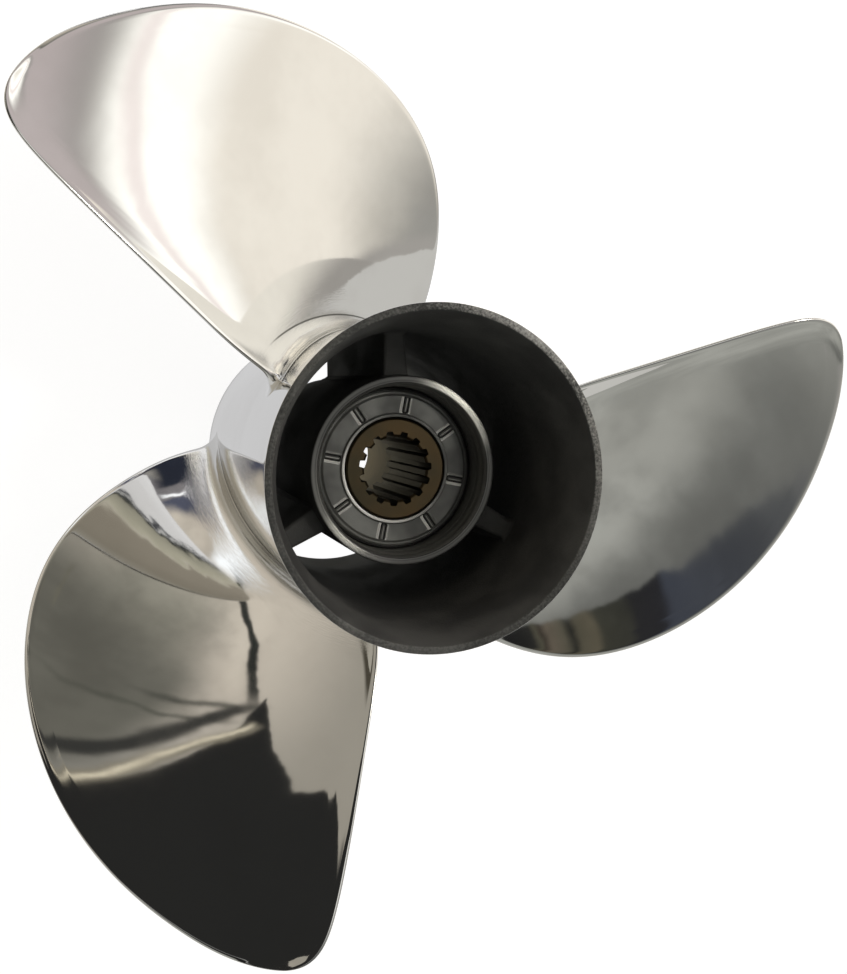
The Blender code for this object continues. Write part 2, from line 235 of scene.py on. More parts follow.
def turningMarksGroup():
    # fine rings left by a lathe: a height for a bump, a mask that lightens some rings, and the side where a
    # highlight is painted
    group, start, end = newGroup(
        "turningMarks", {"Rings per metre": 1800.0, "Unevenness": 0.6}, ("Height", "Tint", "Facing")
    )
    _, parts, radius = placeParts(group)
    partX = mathNode(group, "MULTIPLY", parts[0], math.cos(litAngle))
    aside = mathNode(group, "MULTIPLY_ADD", parts[1], math.sin(litAngle), partX)
    feed(group, end["Facing"], mathNode(group, "DIVIDE", aside, radius))
    along = mathNode(group, "MULTIPLY", radius, start["Rings per metre"])
    lift = mathNode(group, "MULTIPLY", parts[2], start["Rings per metre"])
    spot = addNode(group, "ShaderNodeCombineXYZ", X=along, Y=lift).outputs[0]
    rings = addNoise(group, spot, 1.0, 3.0, 0.6)[0]
    broad = addNoise(group, spot, 0.12, 1.0)[0]
    uneven = mathNode(group, "MULTIPLY", broad, start["Unevenness"])
    feed(group, end["Height"], mathNode(group, "ADD", rings, uneven))
    feed(group, end["Tint"], remap(group, broad, 0.35, 0.65))
    return group


def castGrainGroup():
    # the pebbled skin of an unpolished casting, with a few larger swells
    group, start, end = newGroup(
        "castGrain", {"Grains per metre": 900.0, "Swell": 0.5}, ("Height", "Patches")
    )
    place = addNode(group, "ShaderNodeTexCoord").outputs["Object"]
    fine = addNoise(group, place, start["Grains per metre"], 4.0, 0.65)[0]
    broad = addNoise(group, place, 42.0, 3.0)[0]
    swell = mathNode(group, "MULTIPLY", broad, start["Swell"])
    feed(group, end["Height"], mathNode(group, "ADD", fine, swell))
    feed(group, end["Patches"], remap(group, broad, 0.35, 0.68))
    return group


# Radii and heights in metres, angles in degrees
polishMarks = {
    "streakFade": (0.0705, 0.0795), "barrelFade": (0.0592, 0.0622), "streakHeight": 3.0,
    "linesOutward": 2600.0, "linesRound": 3.0, "linesUpward": 260.0,
    "darkReflectionRadius": 0.0662, "darkReflectionSlope": 0.1, "darkReflectionWidth": (0.0001, 0.00055),
    "darkReflectionStart": (78, 88), "darkReflectionEnd": (128, 136),
    "hairScale": 620.0, "hairHeight": 0.035, "cloudScale": 17.0, "cloudFade": (0.38, 0.7),
}


def handPolishGroup():
    # what a polishing wheel leaves: hair scratches, dull streaks by the barrel, faint clouds; and a painted
    # dark reflection line
    marks = polishMarks
    group, _, end = newGroup("handPolish", {}, ("Height", "Streaks", "Clouds", "Seam"))
    place, parts, radius = placeParts(group)
    turn = mathNode(group, "ARCTAN2", parts[1], parts[0])
    spot = addNode(
        group, "ShaderNodeCombineXYZ",
        X=mathNode(group, "MULTIPLY", radius, marks["linesOutward"]),
        Y=mathNode(group, "MULTIPLY", turn, marks["linesRound"]),
        Z=mathNode(group, "MULTIPLY", parts[2], marks["linesUpward"]),
    ).outputs[0]
    lines = addNoise(group, spot, 1.0, 3.0, 0.55)[0]
    nearRoot = remap(group, radius, *marks["streakFade"], 1.0, 0.0)
    offBarrel = remap(group, radius, *marks["barrelFade"])
    mask = mathNode(group, "MULTIPLY", nearRoot, offBarrel)
    feed(group, end["Streaks"], mask)
    # a painted dark reflection line along the fillet's edge, on the first blade's root only
    darkReflection = mathNode(group, "MULTIPLY_ADD", parts[2], marks["darkReflectionSlope"], marks["darkReflectionRadius"])
    darkReflection = mathNode(group, "ABSOLUTE", mathNode(group, "SUBTRACT", radius, darkReflection))
    darkReflection = remap(group, darkReflection, *marks["darkReflectionWidth"], 1.0, 0.0)
    early = remap(group, turn, *map(math.radians, marks["darkReflectionStart"]))
    late = remap(group, turn, *map(math.radians, marks["darkReflectionEnd"]), 1.0, 0.0)
    for part in (early, late, offBarrel):
        darkReflection = mathNode(group, "MULTIPLY", darkReflection, part)
    feed(group, end["Seam"], darkReflection)
    hair = addNoise(group, place, marks["hairScale"], 2.0)[0]
    fineHair = mathNode(group, "MULTIPLY", hair, marks["hairHeight"])
    streaks = mathNode(group, "MULTIPLY", lines, marks["streakHeight"])
    streaks = mathNode(group, "MULTIPLY", streaks, mask)
    feed(group, end["Height"], mathNode(group, "ADD", streaks, fineHair))
    clouds = addNoise(group, place, marks["cloudScale"], 4.0, 0.6)[0]
    feed(group, end["Clouds"], remap(group, clouds, *marks["cloudFade"]))
    return group


turningMarks = turningMarksGroup()
castGrain = castGrainGroup()
handPolish = handPolishGroup()
print("node groups ready")


# Materials

def newMaterial(name, metallic, roughness, **sockets):
    material = bpy.data.materials.new(name)
    material.use_nodes = True
    tree = material.node_tree
    shader = tree.nodes["Principled BSDF"]
    sockets.update(Metallic=metallic, Roughness=roughness)
    for key, value in sockets.items():
        shader.inputs[key.replace("_", " ")].default_value = value
    return material, tree, shader


def placeGrain(tree, grains, swell):
    return placeGroup(tree, castGrain, **{"Grains per metre": grains, "Swell": swell}).outputs


def placeMarks(tree, rings):
    return placeGroup(tree, turningMarks, **{"Rings per metre": rings}).outputs


def dress(tree, shader, colour, height, depth, strength=1.0):
    # feeds the shader its colour and its bump
    feed(tree, shader.inputs["Base Color"], colour)
    bump = addNode(tree, "ShaderNodeBump", Strength=strength, Distance=depth, Height=height)
    feed(tree, shader.inputs["Normal"], bump.outputs[0])


def turnedMaterial(name, finish):
    # a lathe-cut face, whose stretched highlight turns with its rings
    material, tree, shader = newMaterial(
        name, 1.0, finish["roughness"], Anisotropic=finish["stretch"], Anisotropic_Rotation=0.25
    )
    tangent = addNode(tree, "ShaderNodeTangent", direction_type="RADIAL", axis="Z")
    feed(tree, shader.inputs["Tangent"], tangent.outputs[0])
    return material, tree, shader, placeMarks(tree, finish["rings"])


def grainSurface(name, finish, **sockets):
    # a plain surface: two colours in patches and a bump, both from the cast grain
    material, tree, shader = newMaterial(name, finish["metallic"], finish["roughness"], **sockets)
    grain = placeGrain(tree, *finish["grain"])
    colour = mixColours(tree, grain["Patches"], *finish["colours"])
    dress(tree, shader, colour, grain["Height"], finish["depth"], finish.get("strength", 1.0))
    if "uneven" in finish:
        rough = remap(tree, grain["Patches"], 0.0, 1.0, *finish["uneven"])
        feed(tree, shader.inputs["Roughness"], rough)
    return material, tree, shader, colour


def polishedSteel():
    finish = {
        "bright": (0.68, 0.675, 0.66), "cloudy": (0.62, 0.612, 0.595), "darkReflection": (0.13, 0.13, 0.12),
        "mirror": 0.04, "smudged": 0.075, "streaked": 0.14, "scratchDepth": 0.00002,
    }
    material, tree, shader = newMaterial("polishedSteel", 1.0, finish["mirror"])
    polishAndPaintedLight = placeGroup(tree, handPolish).outputs
    colour = mixColours(tree, polishAndPaintedLight["Clouds"], finish["bright"], finish["cloudy"])
    # a painted dark reflection line on the first blade's root
    colour = mixColours(tree, polishAndPaintedLight["Seam"], colour, finish["darkReflection"])
    wornAndSheen = remap(tree, polishAndPaintedLight["Clouds"], 0.0, 1.0, finish["mirror"], finish["smudged"])
    streaked = mathNode(tree, "MULTIPLY", polishAndPaintedLight["Streaks"], finish["streaked"])
    feed(tree, shader.inputs["Roughness"], mathNode(tree, "MAXIMUM", wornAndSheen, streaked))
    dress(tree, shader, colour, polishAndPaintedLight["Height"], finish["scratchDepth"])
    return material


def machinedRim():
    finish = {
        "dark": (0.055, 0.055, 0.054), "light": (0.135, 0.134, 0.127), "paintedHighlight": (0.34, 0.335, 0.32),
        "roughness": 0.42, "stretch": 0.85, "rings": 2600.0, "grain": (1100.0, 0.8),
        "lightFade": (0.65, 1.2), "paintedHighlightFade": (0.3, 0.95), "grooveDepth": 0.0001,
    }
    material, tree, shader, marks = turnedMaterial("machinedRim", finish)
    grain = placeGrain(tree, *finish["grain"])
    share = remap(tree, grain["Height"], *finish["lightFade"])
    colour = mixColours(tree, share, finish["dark"], finish["light"])
    # a painted highlight on the lit side of the turned rim face, in grain speckles
    paintedHighlight = remap(tree, marks["Facing"], *finish["paintedHighlightFade"])
    paintedHighlight = mathNode(tree, "MULTIPLY", paintedHighlight, share)
    colour = mixColours(tree, paintedHighlight, colour, finish["paintedHighlight"])
    height = mathNode(tree, "ADD", marks["Height"], grain["Height"])
    dress(tree, shader, colour, height, finish["grooveDepth"])
    return material


def darkCasting():
    finish = {
        "metallic": 0.0, "roughness": 0.72, "uneven": (0.62, 0.8), "grain": (950.0, 1.2),
        "colours": ((0.055, 0.055, 0.054), (0.1, 0.1, 0.096)), "depth": 0.00018, "strength": 0.7,
    }
    return grainSurface("darkCasting", finish, Specular_IOR_Level=0.3)[0]


def turnedHubSteel():
    finish = {
        "dark": (0.05, 0.05, 0.049), "light": (0.145, 0.144, 0.138), "paintedHighlight": (0.62, 0.61, 0.56),
        "roughness": 0.33, "stretch": 0.95, "rings": 2200.0, "grooveDepth": 0.00003,
        "lightFade": (0.62, 1.0), "paintedHighlightFade": (0.8, 1.0), "farPaintedHighlightFade": (-1.0, -0.93, 0.2, 0.0),
    }
    material, tree, shader, marks = turnedMaterial("turnedHubSteel", finish)
    share = remap(tree, marks["Height"], *finish["lightFade"])
    colour = mixColours(tree, share, finish["dark"], finish["light"])
    # painted highlights on the turned face: a broad one on the lit side and a narrow one opposite
    right = remap(tree, marks["Facing"], *finish["paintedHighlightFade"])
    left = remap(tree, marks["Facing"], *finish["farPaintedHighlightFade"])
    paintedHighlight = mathNode(tree, "MAXIMUM", right, left)
    colour = mixColours(tree, paintedHighlight, colour, finish["paintedHighlight"])
    dress(tree, shader, colour, marks["Height"], finish["grooveDepth"])
    return material


def boredHubSteel():
    # the hub tube's inner wall, with coarser tool marks
    finish = {"dark": (0.2, 0.2, 0.192), "light": (0.4, 0.397, 0.375), "rings": 900.0, "grooveDepth": 0.00006}
    material, tree, shader = newMaterial("boredHubSteel", 0.85, 0.55)
    marks = placeMarks(tree, finish["rings"])
    colour = mixColours(tree, marks["Tint"], finish["dark"], finish["light"])
    dress(tree, shader, colour, marks["Height"], finish["grooveDepth"])
    return material


def stampedSteel():
    # painted highlights on the ribs' lips and painted shade beside the ribs, from a value stored on each
    # point
    finish = {
        "metallic": 0.4, "roughness": 0.5, "uneven": (0.55, 0.42), "grain": (1500.0, 2.0),
        "colours": ((0.09, 0.091, 0.087), (0.21, 0.212, 0.2)), "depth": 0.00006, "strength": 0.8,
        "wornAndSheen": (0.9, 0.89, 0.85), "paintedShade": (0.008, 0.008, 0.008),
    }
    material, tree, shader, colour = grainSurface("stampedSteel", finish)
    sheenAndWear = addNode(tree, "ShaderNodeAttribute", attribute_name="ribPaintedLight").outputs["Fac"]
    wornAndSheen = remap(tree, sheenAndWear, 0.0, 1.0)
    paintedShadeShare = remap(tree, sheenAndWear, 0.0, -1.0)
    colour = mixColours(tree, wornAndSheen, colour, finish["wornAndSheen"])
    colour = mixColours(tree, paintedShadeShare, colour, finish["paintedShade"])
    feed(tree, shader.inputs["Base Color"], colour)
    return material


def oiledBronze():
    finish = {
        "brown": (0.066, 0.045, 0.022), "olive": (0.045, 0.037, 0.022),
        "rings": 1500.0, "grain": (800.0, 1.5), "grooveDepth": 0.00002,
    }
    material, tree, shader = newMaterial("oiledBronze", 0.9, 0.42)
    marks = placeMarks(tree, finish["rings"])
    grain = placeGrain(tree, *finish["grain"])
    colour = mixColours(tree, grain["Patches"], finish["brown"], finish["olive"])
    height = mathNode(tree, "ADD", marks["Height"], grain["Height"])
    dress(tree, shader, colour, height, finish["grooveDepth"])
    return material


def boredBronze():
    # the smooth bore beyond the spline, dull and oily
    finish = {
        "metallic": 0.3, "roughness": 0.6, "grain": (700.0, 1.5),
        "colours": ((0.17, 0.13, 0.075), (0.1, 0.088, 0.052)), "depth": 0.00004,
    }
    return grainSurface("boredBronze", finish, Specular_IOR_Level=0.4)[0]


def darkBronze():
    # the spline, black with old grease in its grooves and worn on the tooth tops
    finish = {
        "greasy": (0.01, 0.0095, 0.008), "wornAndSheen": (0.034, 0.029, 0.02), "sheenAndWear": (0.4, 0.6),
        "grooveTop": 0.0143, "toothTop": 0.0132, "grain": (600.0, 2.0), "grainDepth": 0.00003,
    }
    material, tree, shader = newMaterial("darkBronze", 0.2, 0.5, Specular_IOR_Level=0.25)
    radius = placeParts(tree)[2]
    onTop = remap(tree, radius, finish["grooveTop"], finish["toothTop"])
    grain = placeGrain(tree, *finish["grain"])
    sheenAndWear = mathNode(tree, "MULTIPLY_ADD", grain["Patches"], *finish["sheenAndWear"])
    share = mathNode(tree, "MULTIPLY", onTop, sheenAndWear)
    colour = mixColours(tree, share, finish["greasy"], finish["wornAndSheen"])
    dress(tree, shader, colour, grain["Height"], finish["grainDepth"])
    return material


def bushRubber():
    finish = {
        "metallic": 0.0, "roughness": 0.62, "grain": (1200.0, 1.0),
        "colours": ((0.008, 0.008, 0.008), (0.022, 0.022, 0.021)), "depth": 0.00006,
    }
    return grainSurface("bushRubber", finish)[0]


steelMirror = polishedSteel()
steelRim = machinedRim()
castDark = darkCasting()
steelTurned = turnedHubSteel()
steelBored = boredHubSteel()
steelStamped = stampedSteel()
bronzeFace = oiledBronze()
bronzeBore = boredBronze()
bronzeTeeth = darkBronze()
rubberBlack = bushRubber()
print("materials ready")


# The barrel: mirror outside, machined at both ends, dark casting inside
barrelShape = {
    "radius": 58.8, "wall": 3.8, "rimRadius": 63.2, "rimWall": 2.9, "flareLength": 30.0,
    "flareSteps": 20, "edge": 0.35, "segments": 288, "wallSteps": 24, "endShare": 0.7, "endSlope": 0.75,
}


def flare(height):
    # the barrel's outer radius and wall at a height
    shape = barrelShape
    share = max(0.0, 1 - (rimZ - height) / shape["flareLength"])
    radius = shape["radius"] + (shape["rimRadius"] - shape["radius"]) * share ** 2
    return radius, shape["wall"] + (shape["rimWall"] - shape["wall"]) * share


def makeBarrel():
    shape = barrelShape
    steps, wallSteps = shape["flareSteps"], shape["wallSteps"]
    heights = [rimZ - shape["flareLength"] * i / steps for i in range(steps + 1)]
    straight = (heights[-1] - frontZ) / wallSteps
    heights += [heights[-1] - straight * i for i in range(1, wallSteps + 1)]
    outer = [(flare(z)[0], z) for z in heights]
    inner = [(flare(z)[0] - flare(z)[1], z) for z in reversed(heights)]
    obj = turnPiece("barrelPiece", outer + inner, shape["segments"])
    roundEdges(obj, shape["edge"])
    endFace = shape["edge"] * shape["endShare"]

    def chooser(radius, height, normal):
        nearEnd = height > rimZ - endFace or height < frontZ + endFace
        if nearEnd and abs(normal.z) > shape["endSlope"]:
            return 1
        outerRadius, wall = flare(height)
        return 0 if radius > outerRadius - wall / 2 else 2

    paintFaces(obj, (steelMirror, steelRim, castDark), chooser)
    smoothFaces(obj)
    return settlePiece(obj, "polishedBarrel", "polished_steel", "barrel")


makeBarrel()


# The blades: a raked helical face in a smooth outline, with rounded edges, a cup and a root fillet
bladeShape = {
    "pitch": 435.6, "count": 3, "firstAngle": 152.9, "faceDrop": 52.4,
    "rakeStart": 57.5, "rakeSlope": 0.326, "rakeCurve": -0.00075,
    "rootThickness": 12.5, "tipThickness": 3.2, "thicknessFade": 0.75, "thicknessSkew": 0.9,
    "leadingEdge": 2.2, "trailingEdge": 2.4, "edgeRounding": 2.2,
    "cupLength": 12.0, "cupHeight": 2.0, "cupFadeChord": 48.0,
    "fillet": 9.0, "filletEndShare": 0.7, "filletEndRoundness": 4,
    "innerRadius": 57.7, "evenRadius": 74.0, "columns": 100, "filletRows": 16, "rows": 96,
    "tipCorner": 7.0, "leadingCorner": 11.2, "tipBlend": 1.6,
    "insets": (0, 0.02, 0.08, 0.18, 0.33, 0.55, 0.85, 1.25, 1.8, 2.6, 3.8, 5.4, 7.4),
    "patchStep": 1.6, "patchSteps": 12, "evenFade": 22, "humpFade": 12, "rootSink": 0.4,
    "waveHeight": 0.045, "waveLength": 34.0, "waveFade": 14.0, "waveRadius": 100, "waveSeed": 9.7,
}

# Radius, and angle from the blade's own reference line, from the trailing edge's root over the tip
bladeOutline = (
    (52.0, -9.4), (77.0, -9.0), (102.0, -10.2), (131.0, -11.4), (158.0, -12.2), (180.0, -13.0),
    (193.0, -14.3), (200.5, -17.2), (203.2, -23.0), (200.6, -30.3), (194.7, -40.0), (184.6, -50.7),
    (170.9, -61.2), (155.8, -70.2), (139.6, -77.4), (120.5, -83.5), (99.5, -89.0), (78.9, -94.1),
    (52.0, -100.0),
)


def smoothCurve(values, samples):
    # a natural cubic curve through one value for each whole number
    values = np.asarray(values, float)
    count = len(values)
    matrix = np.eye(count)
    right = np.zeros(count)
    for i in range(1, count - 1):
        matrix[i, i - 1:i + 2] = (1, 4, 1)
        right[i] = 6 * (values[i - 1] - 2 * values[i] + values[i + 1])
    bend = np.linalg.solve(matrix, right)
    left = np.clip(np.floor(samples).astype(int), 0, count - 2)
    after = samples - left
    before = 1 - after
    straight = values[left] * before + values[left + 1] * after
    return straight + ((before ** 3 - before) * bend[left] + (after ** 3 - after) * bend[left + 1]) / 6


class BladeCurve:
    # the outline as a fine curve, with its radius and angle in radians at any place along it

    def __init__(self):
        self.place = np.linspace(0, len(bladeOutline) - 1, 2401)
        self.radius = smoothCurve([point[0] for point in bladeOutline], self.place)
        self.angle = np.radians(smoothCurve([point[1] for point in bladeOutline], self.place))
        self.tip = int(np.argmax(self.radius))
        self.stepRadius = np.gradient(self.radius, self.place)
        self.stepAngle = np.gradient(self.angle, self.place)

    def atRadius(self, radius, values):
        # the values on the leading and the trailing side where the outline has this radius
        tip = self.tip
        leading = np.interp(radius, self.radius[tip:][::-1], values[tip:][::-1])
        return leading, np.interp(radius, self.radius[:tip + 1], values[:tip + 1])

    def inset(self, place, distance):
        # moves in from the outline along the face, and near the barrel at one radius
        radius, angle, alongRadius, alongAngle = (
            np.interp(place, self.place, values)
            for values in (self.radius, self.angle, self.stepRadius, self.stepAngle)
        )
        advance = bladeShape["pitch"] / math.tau
        slope = bladeShape["rakeSlope"] + 2 * bladeShape["rakeCurve"] * (radius - bladeShape["rakeStart"])
        first = 1 + slope ** 2
        cross = slope * advance
        second = radius ** 2 + advance ** 2
        outRadius = -(cross * alongRadius + second * alongAngle)
        outAngle = first * alongRadius + cross * alongAngle
        level = np.clip((radius - bladeShape["evenRadius"]) / bladeShape["evenFade"], 0, 1)
        outRadius = outRadius * level * level * (3 - 2 * level)
        length = np.sqrt(first * outRadius ** 2 + 2 * cross * outRadius * outAngle + second * outAngle ** 2)
        return radius - distance * outRadius / length, angle - distance * outAngle / length


def bladeRows(curve):
    # places along both sides of the outline for each row, close together in the root fillet
    rows = bladeShape["filletRows"]
    foot = barrelShape["radius"] - bladeShape["rootSink"]
    radii = [bladeShape["innerRadius"]] + [
        foot + (bladeShape["evenRadius"] - foot) * (i / rows) ** 1.5 for i in range(rows + 1)
    ]
    leading, trailing = (list(places) for places in curve.atRadius(radii, curve.place))
    for i in range(1, bladeShape["rows"] + 1):
        share = i / bladeShape["rows"]
        trailing.append(trailing[rows + 1] + (bladeShape["tipCorner"] - trailing[rows + 1]) * share)
        leading.append(leading[rows + 1] + (bladeShape["leadingCorner"] - leading[rows + 1]) * share)
    return np.array(trailing), np.array(leading)


def evenPlaces(curve, start, end, count):
    # places from start to end that lie at even steps of length on the face
    fine = np.linspace(start, end, 400)
    radius = np.interp(fine, curve.place, curve.radius)
    angle = np.interp(fine, curve.place, curve.angle)
    steps = np.hypot(np.diff(radius), np.diff(angle) * np.hypot(radius[1:], bladeShape["pitch"] / math.tau))
    length = np.concatenate([[0], np.cumsum(steps)])
    return np.interp(np.linspace(0, length[-1], count), length, fine)


def bladePoints(curve, radius, angle, inset, side, seed):
    # points in millimetres on one side: side is 1 on the pressure face and -1 on the suction face
    shape = bladeShape
    leading, trailing = curve.atRadius(radius, curve.angle)
    along = np.hypot(radius, shape["pitch"] / math.tau)
    chord = (trailing - leading) * along
    place = np.clip((angle - leading) / np.maximum(trailing - leading, 1e-6), 0, 1)
    outlineRadius = np.interp(angle, curve.angle[::-1], curve.radius[::-1])
    outwards = np.maximum(outlineRadius - radius, 0)
    share = np.clip((radius - barrelShape["radius"]) / (curve.radius.max() - barrelShape["radius"]), 0, 1)
    fade = 1 - share ** shape["thicknessFade"]
    thickest = shape["tipThickness"] + (shape["rootThickness"] - shape["tipThickness"]) * fade
    edge = shape["leadingEdge"] + (shape["trailingEdge"] - shape["leadingEdge"]) * place
    hump = np.sin(np.pi * place ** shape["thicknessSkew"]) * (1 - np.exp(-outwards / shape["humpFade"]))
    half = (edge + (thickest - edge) * hump) / 2
    rounding = np.sqrt(1 - (1 - np.minimum(inset / shape["edgeRounding"], 1)) ** 2)
    above = np.clip(radius - barrelShape["radius"], 0, shape["fillet"])
    spread = shape["fillet"] - np.sqrt(shape["fillet"] ** 2 - (shape["fillet"] - above) ** 2)
    roundness = shape["filletEndRoundness"]
    foot = spread * np.maximum(1 - np.abs(2 * place - 1) ** roundness, 0) ** (1 / roundness)
    cup = shape["cupHeight"] * np.maximum(0, 1 - (1 - place) * chord / shape["cupLength"]) ** 2
    cup = cup * np.minimum(1, chord / shape["cupFadeChord"])
    run = angle * along + (place - 0.5) * 2 * spread * shape["filletEndShare"]
    across = angle * shape["waveRadius"] / shape["waveLength"]
    layer = seed * shape["waveSeed"] + side
    wave = np.array([
        noise.noise(Vector((out, aside, layer))) for out, aside in zip(radius / shape["waveLength"], across)
    ])
    wave = wave * shape["waveHeight"] * np.clip(inset / shape["waveFade"], 0, 1)
    lift = cup - half + side * (half * rounding + foot + wave)
    advance = shape["pitch"] / math.tau
    turn = run / along - lift * advance / (along * radius)
    rise = radius - shape["rakeStart"]
    height = run * advance / along + lift * radius / along
    height = height + shape["rakeSlope"] * rise + shape["rakeCurve"] * rise ** 2 + rimZ - shape["faceDrop"]
    return np.stack([radius * np.cos(turn), radius * np.sin(turn), height], -1)


def bladeGrid(curve):
    # radius, angle and inset of every point of one side: an even patch, and rings from it out to the outline
    trailing, leading = bladeRows(curve)
    insets = np.array(bladeShape["insets"], float)
    columns = bladeShape["columns"]
    tips = evenPlaces(curve, bladeShape["tipCorner"], bladeShape["leadingCorner"], columns + 1)
    across = np.linspace(0, 1, columns + 1)
    deep = insets[-1]
    trailingRadius, trailingAngle = curve.inset(trailing, deep)
    leadingRadius, leadingAngle = curve.inset(leading, deep)
    tipRadius, tipAngle = curve.inset(tips, deep)
    blend = np.clip(np.linspace(-0.15, 1, len(trailing)), 0, 1) ** bladeShape["tipBlend"]
    patch = []
    for low, high, tip in (
        (trailingRadius, leadingRadius, tipRadius), (trailingAngle, leadingAngle, tipAngle)
    ):
        rowsOf = low[:, None] * (1 - across) + high[:, None] * across
        bulge = tip - (tip[0] * (1 - across) + tip[-1] * across)
        patch.append(rowsOf + blend[:, None] * bulge)
    around = np.concatenate([trailing, tips[1:], leading[::-1][1:]])
    rings = [curve.inset(around, distance) for distance in insets[:-1]]
    return patch, rings, insets, len(trailing), columns + 1


def makeBlade(number, curve, grid):
    patch, rings, insets, rowCount, columnCount = grid
    patchSize = rowCount * columnCount
    ringSize = 2 * rowCount + columnCount - 2
    radius, angle = (
        np.concatenate([patch[part].ravel()] + [ring[part] for ring in rings]) for part in (0, 1)
    )
    fromSides = np.minimum(np.arange(columnCount), np.arange(columnCount)[::-1])
    fromTip = np.minimum(np.arange(rowCount)[::-1], bladeShape["patchSteps"])
    inset = np.concatenate([
        insets[-1] + bladeShape["patchStep"] * np.minimum.outer(fromTip, fromSides).ravel(),
        *(np.full(ringSize, distance) for distance in insets[:-1]),
    ])
    front = bladePoints(curve, radius, angle, inset, 1, number)
    back = bladePoints(curve, radius, angle, inset, -1, number)
    points = np.concatenate([front, back[:patchSize], back[patchSize + ringSize:]])

    def patchIndex(row, column, side):
        return row * columnCount + column + (0 if side > 0 else len(front))

    def ringIndex(ring, around, side):
        # ring 0 is the outline itself, which both sides share
        if side > 0 or ring == 0:
            return patchSize + ring * ringSize + around
        return len(front) + patchSize + (ring - 1) * ringSize + around

    def edgeIndex(around, side):
        if around < rowCount:
            return patchIndex(around, 0, side)
        if around < rowCount + columnCount - 1:
            return patchIndex(rowCount - 1, around - rowCount + 1, side)
        return patchIndex(2 * rowCount + columnCount - 3 - around, columnCount - 1, side)

    faces = []
    lastRing = len(rings) - 1
    for side in (1, -1):
        for row in range(rowCount - 1):
            for column in range(columnCount - 1):
                faces.append((
                    patchIndex(row, column, side), patchIndex(row, column + 1, side),
                    patchIndex(row + 1, column + 1, side), patchIndex(row + 1, column, side),
                ))
        for around in range(ringSize - 1):
            faces += [(
                ringIndex(ring, around, side), ringIndex(ring, around + 1, side),
                ringIndex(ring + 1, around + 1, side), ringIndex(ring + 1, around, side),
            ) for ring in range(lastRing)]
            faces.append((
                ringIndex(lastRing, around, side), ringIndex(lastRing, around + 1, side),
                edgeIndex(around + 1, side), edgeIndex(around, side),
            ))
    # the root's cap, hidden inside the barrel's wall
    root = {}
    for side in (1, -1):
        first = [ringIndex(ring, 0, side) for ring in range(lastRing + 1)]
        middle = [patchIndex(0, column, side) for column in range(columnCount)]
        last = [ringIndex(ring, ringSize - 1, side) for ring in range(lastRing, -1, -1)]
        root[side] = first + middle + last
    for i in range(len(root[1]) - 1):
        corners = [root[1][i], root[1][i + 1], root[-1][i + 1], root[-1][i]]
        faces.append(tuple(dict.fromkeys(corners)))
    mesh = bpy.data.meshes.new("blade")
    mesh.from_pydata((points * mm).tolist(), [], faces)
    obj = bpy.data.objects.new("blade", mesh)
    bpy.context.scene.collection.objects.link(obj)
    obj.rotation_euler.z = math.radians(bladeShape["firstAngle"] - 360 / bladeShape["count"] * (number - 1))
    useOnly(obj)
    setMode("EDIT")
    bpy.ops.mesh.select_all(action="SELECT")
    bpy.ops.mesh.normals_make_consistent(inside=False)
    setMode("OBJECT")
    obj.data.materials.append(steelMirror)
    obj.data.shade_smooth()
    return settlePiece(obj, f"polishedBlade{number}", "polished_steel", f"blade_{number}")


bladeCurve = BladeCurve()
grid = bladeGrid(bladeCurve)
for bladeNumber in range(1, bladeShape["count"] + 1):
    makeBlade(bladeNumber, bladeCurve, grid)


# The hub tube, turned at its ends
hubShape = {
    "radius": 37.5, "frontRadius": 36.4, "bore": 33.2, "chamfer": 0.35, "bevel": 1.5,
    "edge": 0.22, "segments": 240, "outerSteps": 12, "wallBand": 0.25, "bandTop": 10.0, "bandLow": 5.5,
    "bandEdge": 0.5, "boredReach": 1.1, "castRadius": 35.8, "castMargin": 0.5,
}


def hubRadius(height):
    share = (hubHigh - height) / (hubHigh - hubLow)
    return hubShape["radius"] + (hubShape["frontRadius"] - hubShape["radius"]) * share


def makeHubTube():
    shape = hubShape
    top, bottom, bore = hubHigh, hubLow, shape["bore"]
    chamfer, band, edge = shape["chamfer"], shape["wallBand"], shape["bandEdge"]
    profile = [(shape["radius"] - chamfer, top)]
    for i in range(shape["outerSteps"] + 1):
        height = top - chamfer - (top - bottom - 2 * chamfer) * i / shape["outerSteps"]
        profile.append((hubRadius(height), height))
    profile += [
        (shape["frontRadius"] - chamfer, bottom), (bore, bottom), (bore, top - shape["bandTop"]),
        (bore + band, top - shape["bandTop"] + edge), (bore + band, top - shape["bandLow"]),
        (bore + 2 * band, top - shape["bandLow"] + edge), (bore + 2 * band, top - shape["bevel"]),
        (bore + shape["bevel"], top),
    ]
    obj = turnPiece("hubPiece", profile, shape["segments"])
    roundEdges(obj, shape["edge"], 2, 20)
    margin = shape["castMargin"]

    def chooser(radius, height, normal):
        if radius < bore + shape["boredReach"]:
            return 2
        return 1 if radius > shape["castRadius"] and bottom + margin < height < top - margin else 0

    paintFaces(obj, (steelTurned, castDark, steelBored), chooser)
    smoothFaces(obj)
    return settlePiece(obj, "turnedHubTube", "satin_steel", "hub_tube")


makeHubTube()


# The three webs, with fillets where they meet the hub tube and the barrel
webShape = {
    "firstAngle": 91.0, "count": 3, "thickness": 7.0, "fillet": 3.2, "edge": 1.4, "sink": 0.5,
    "cornerBevel": 0.2, "cornerSegments": 5, "cornerStart": 0.55,
}


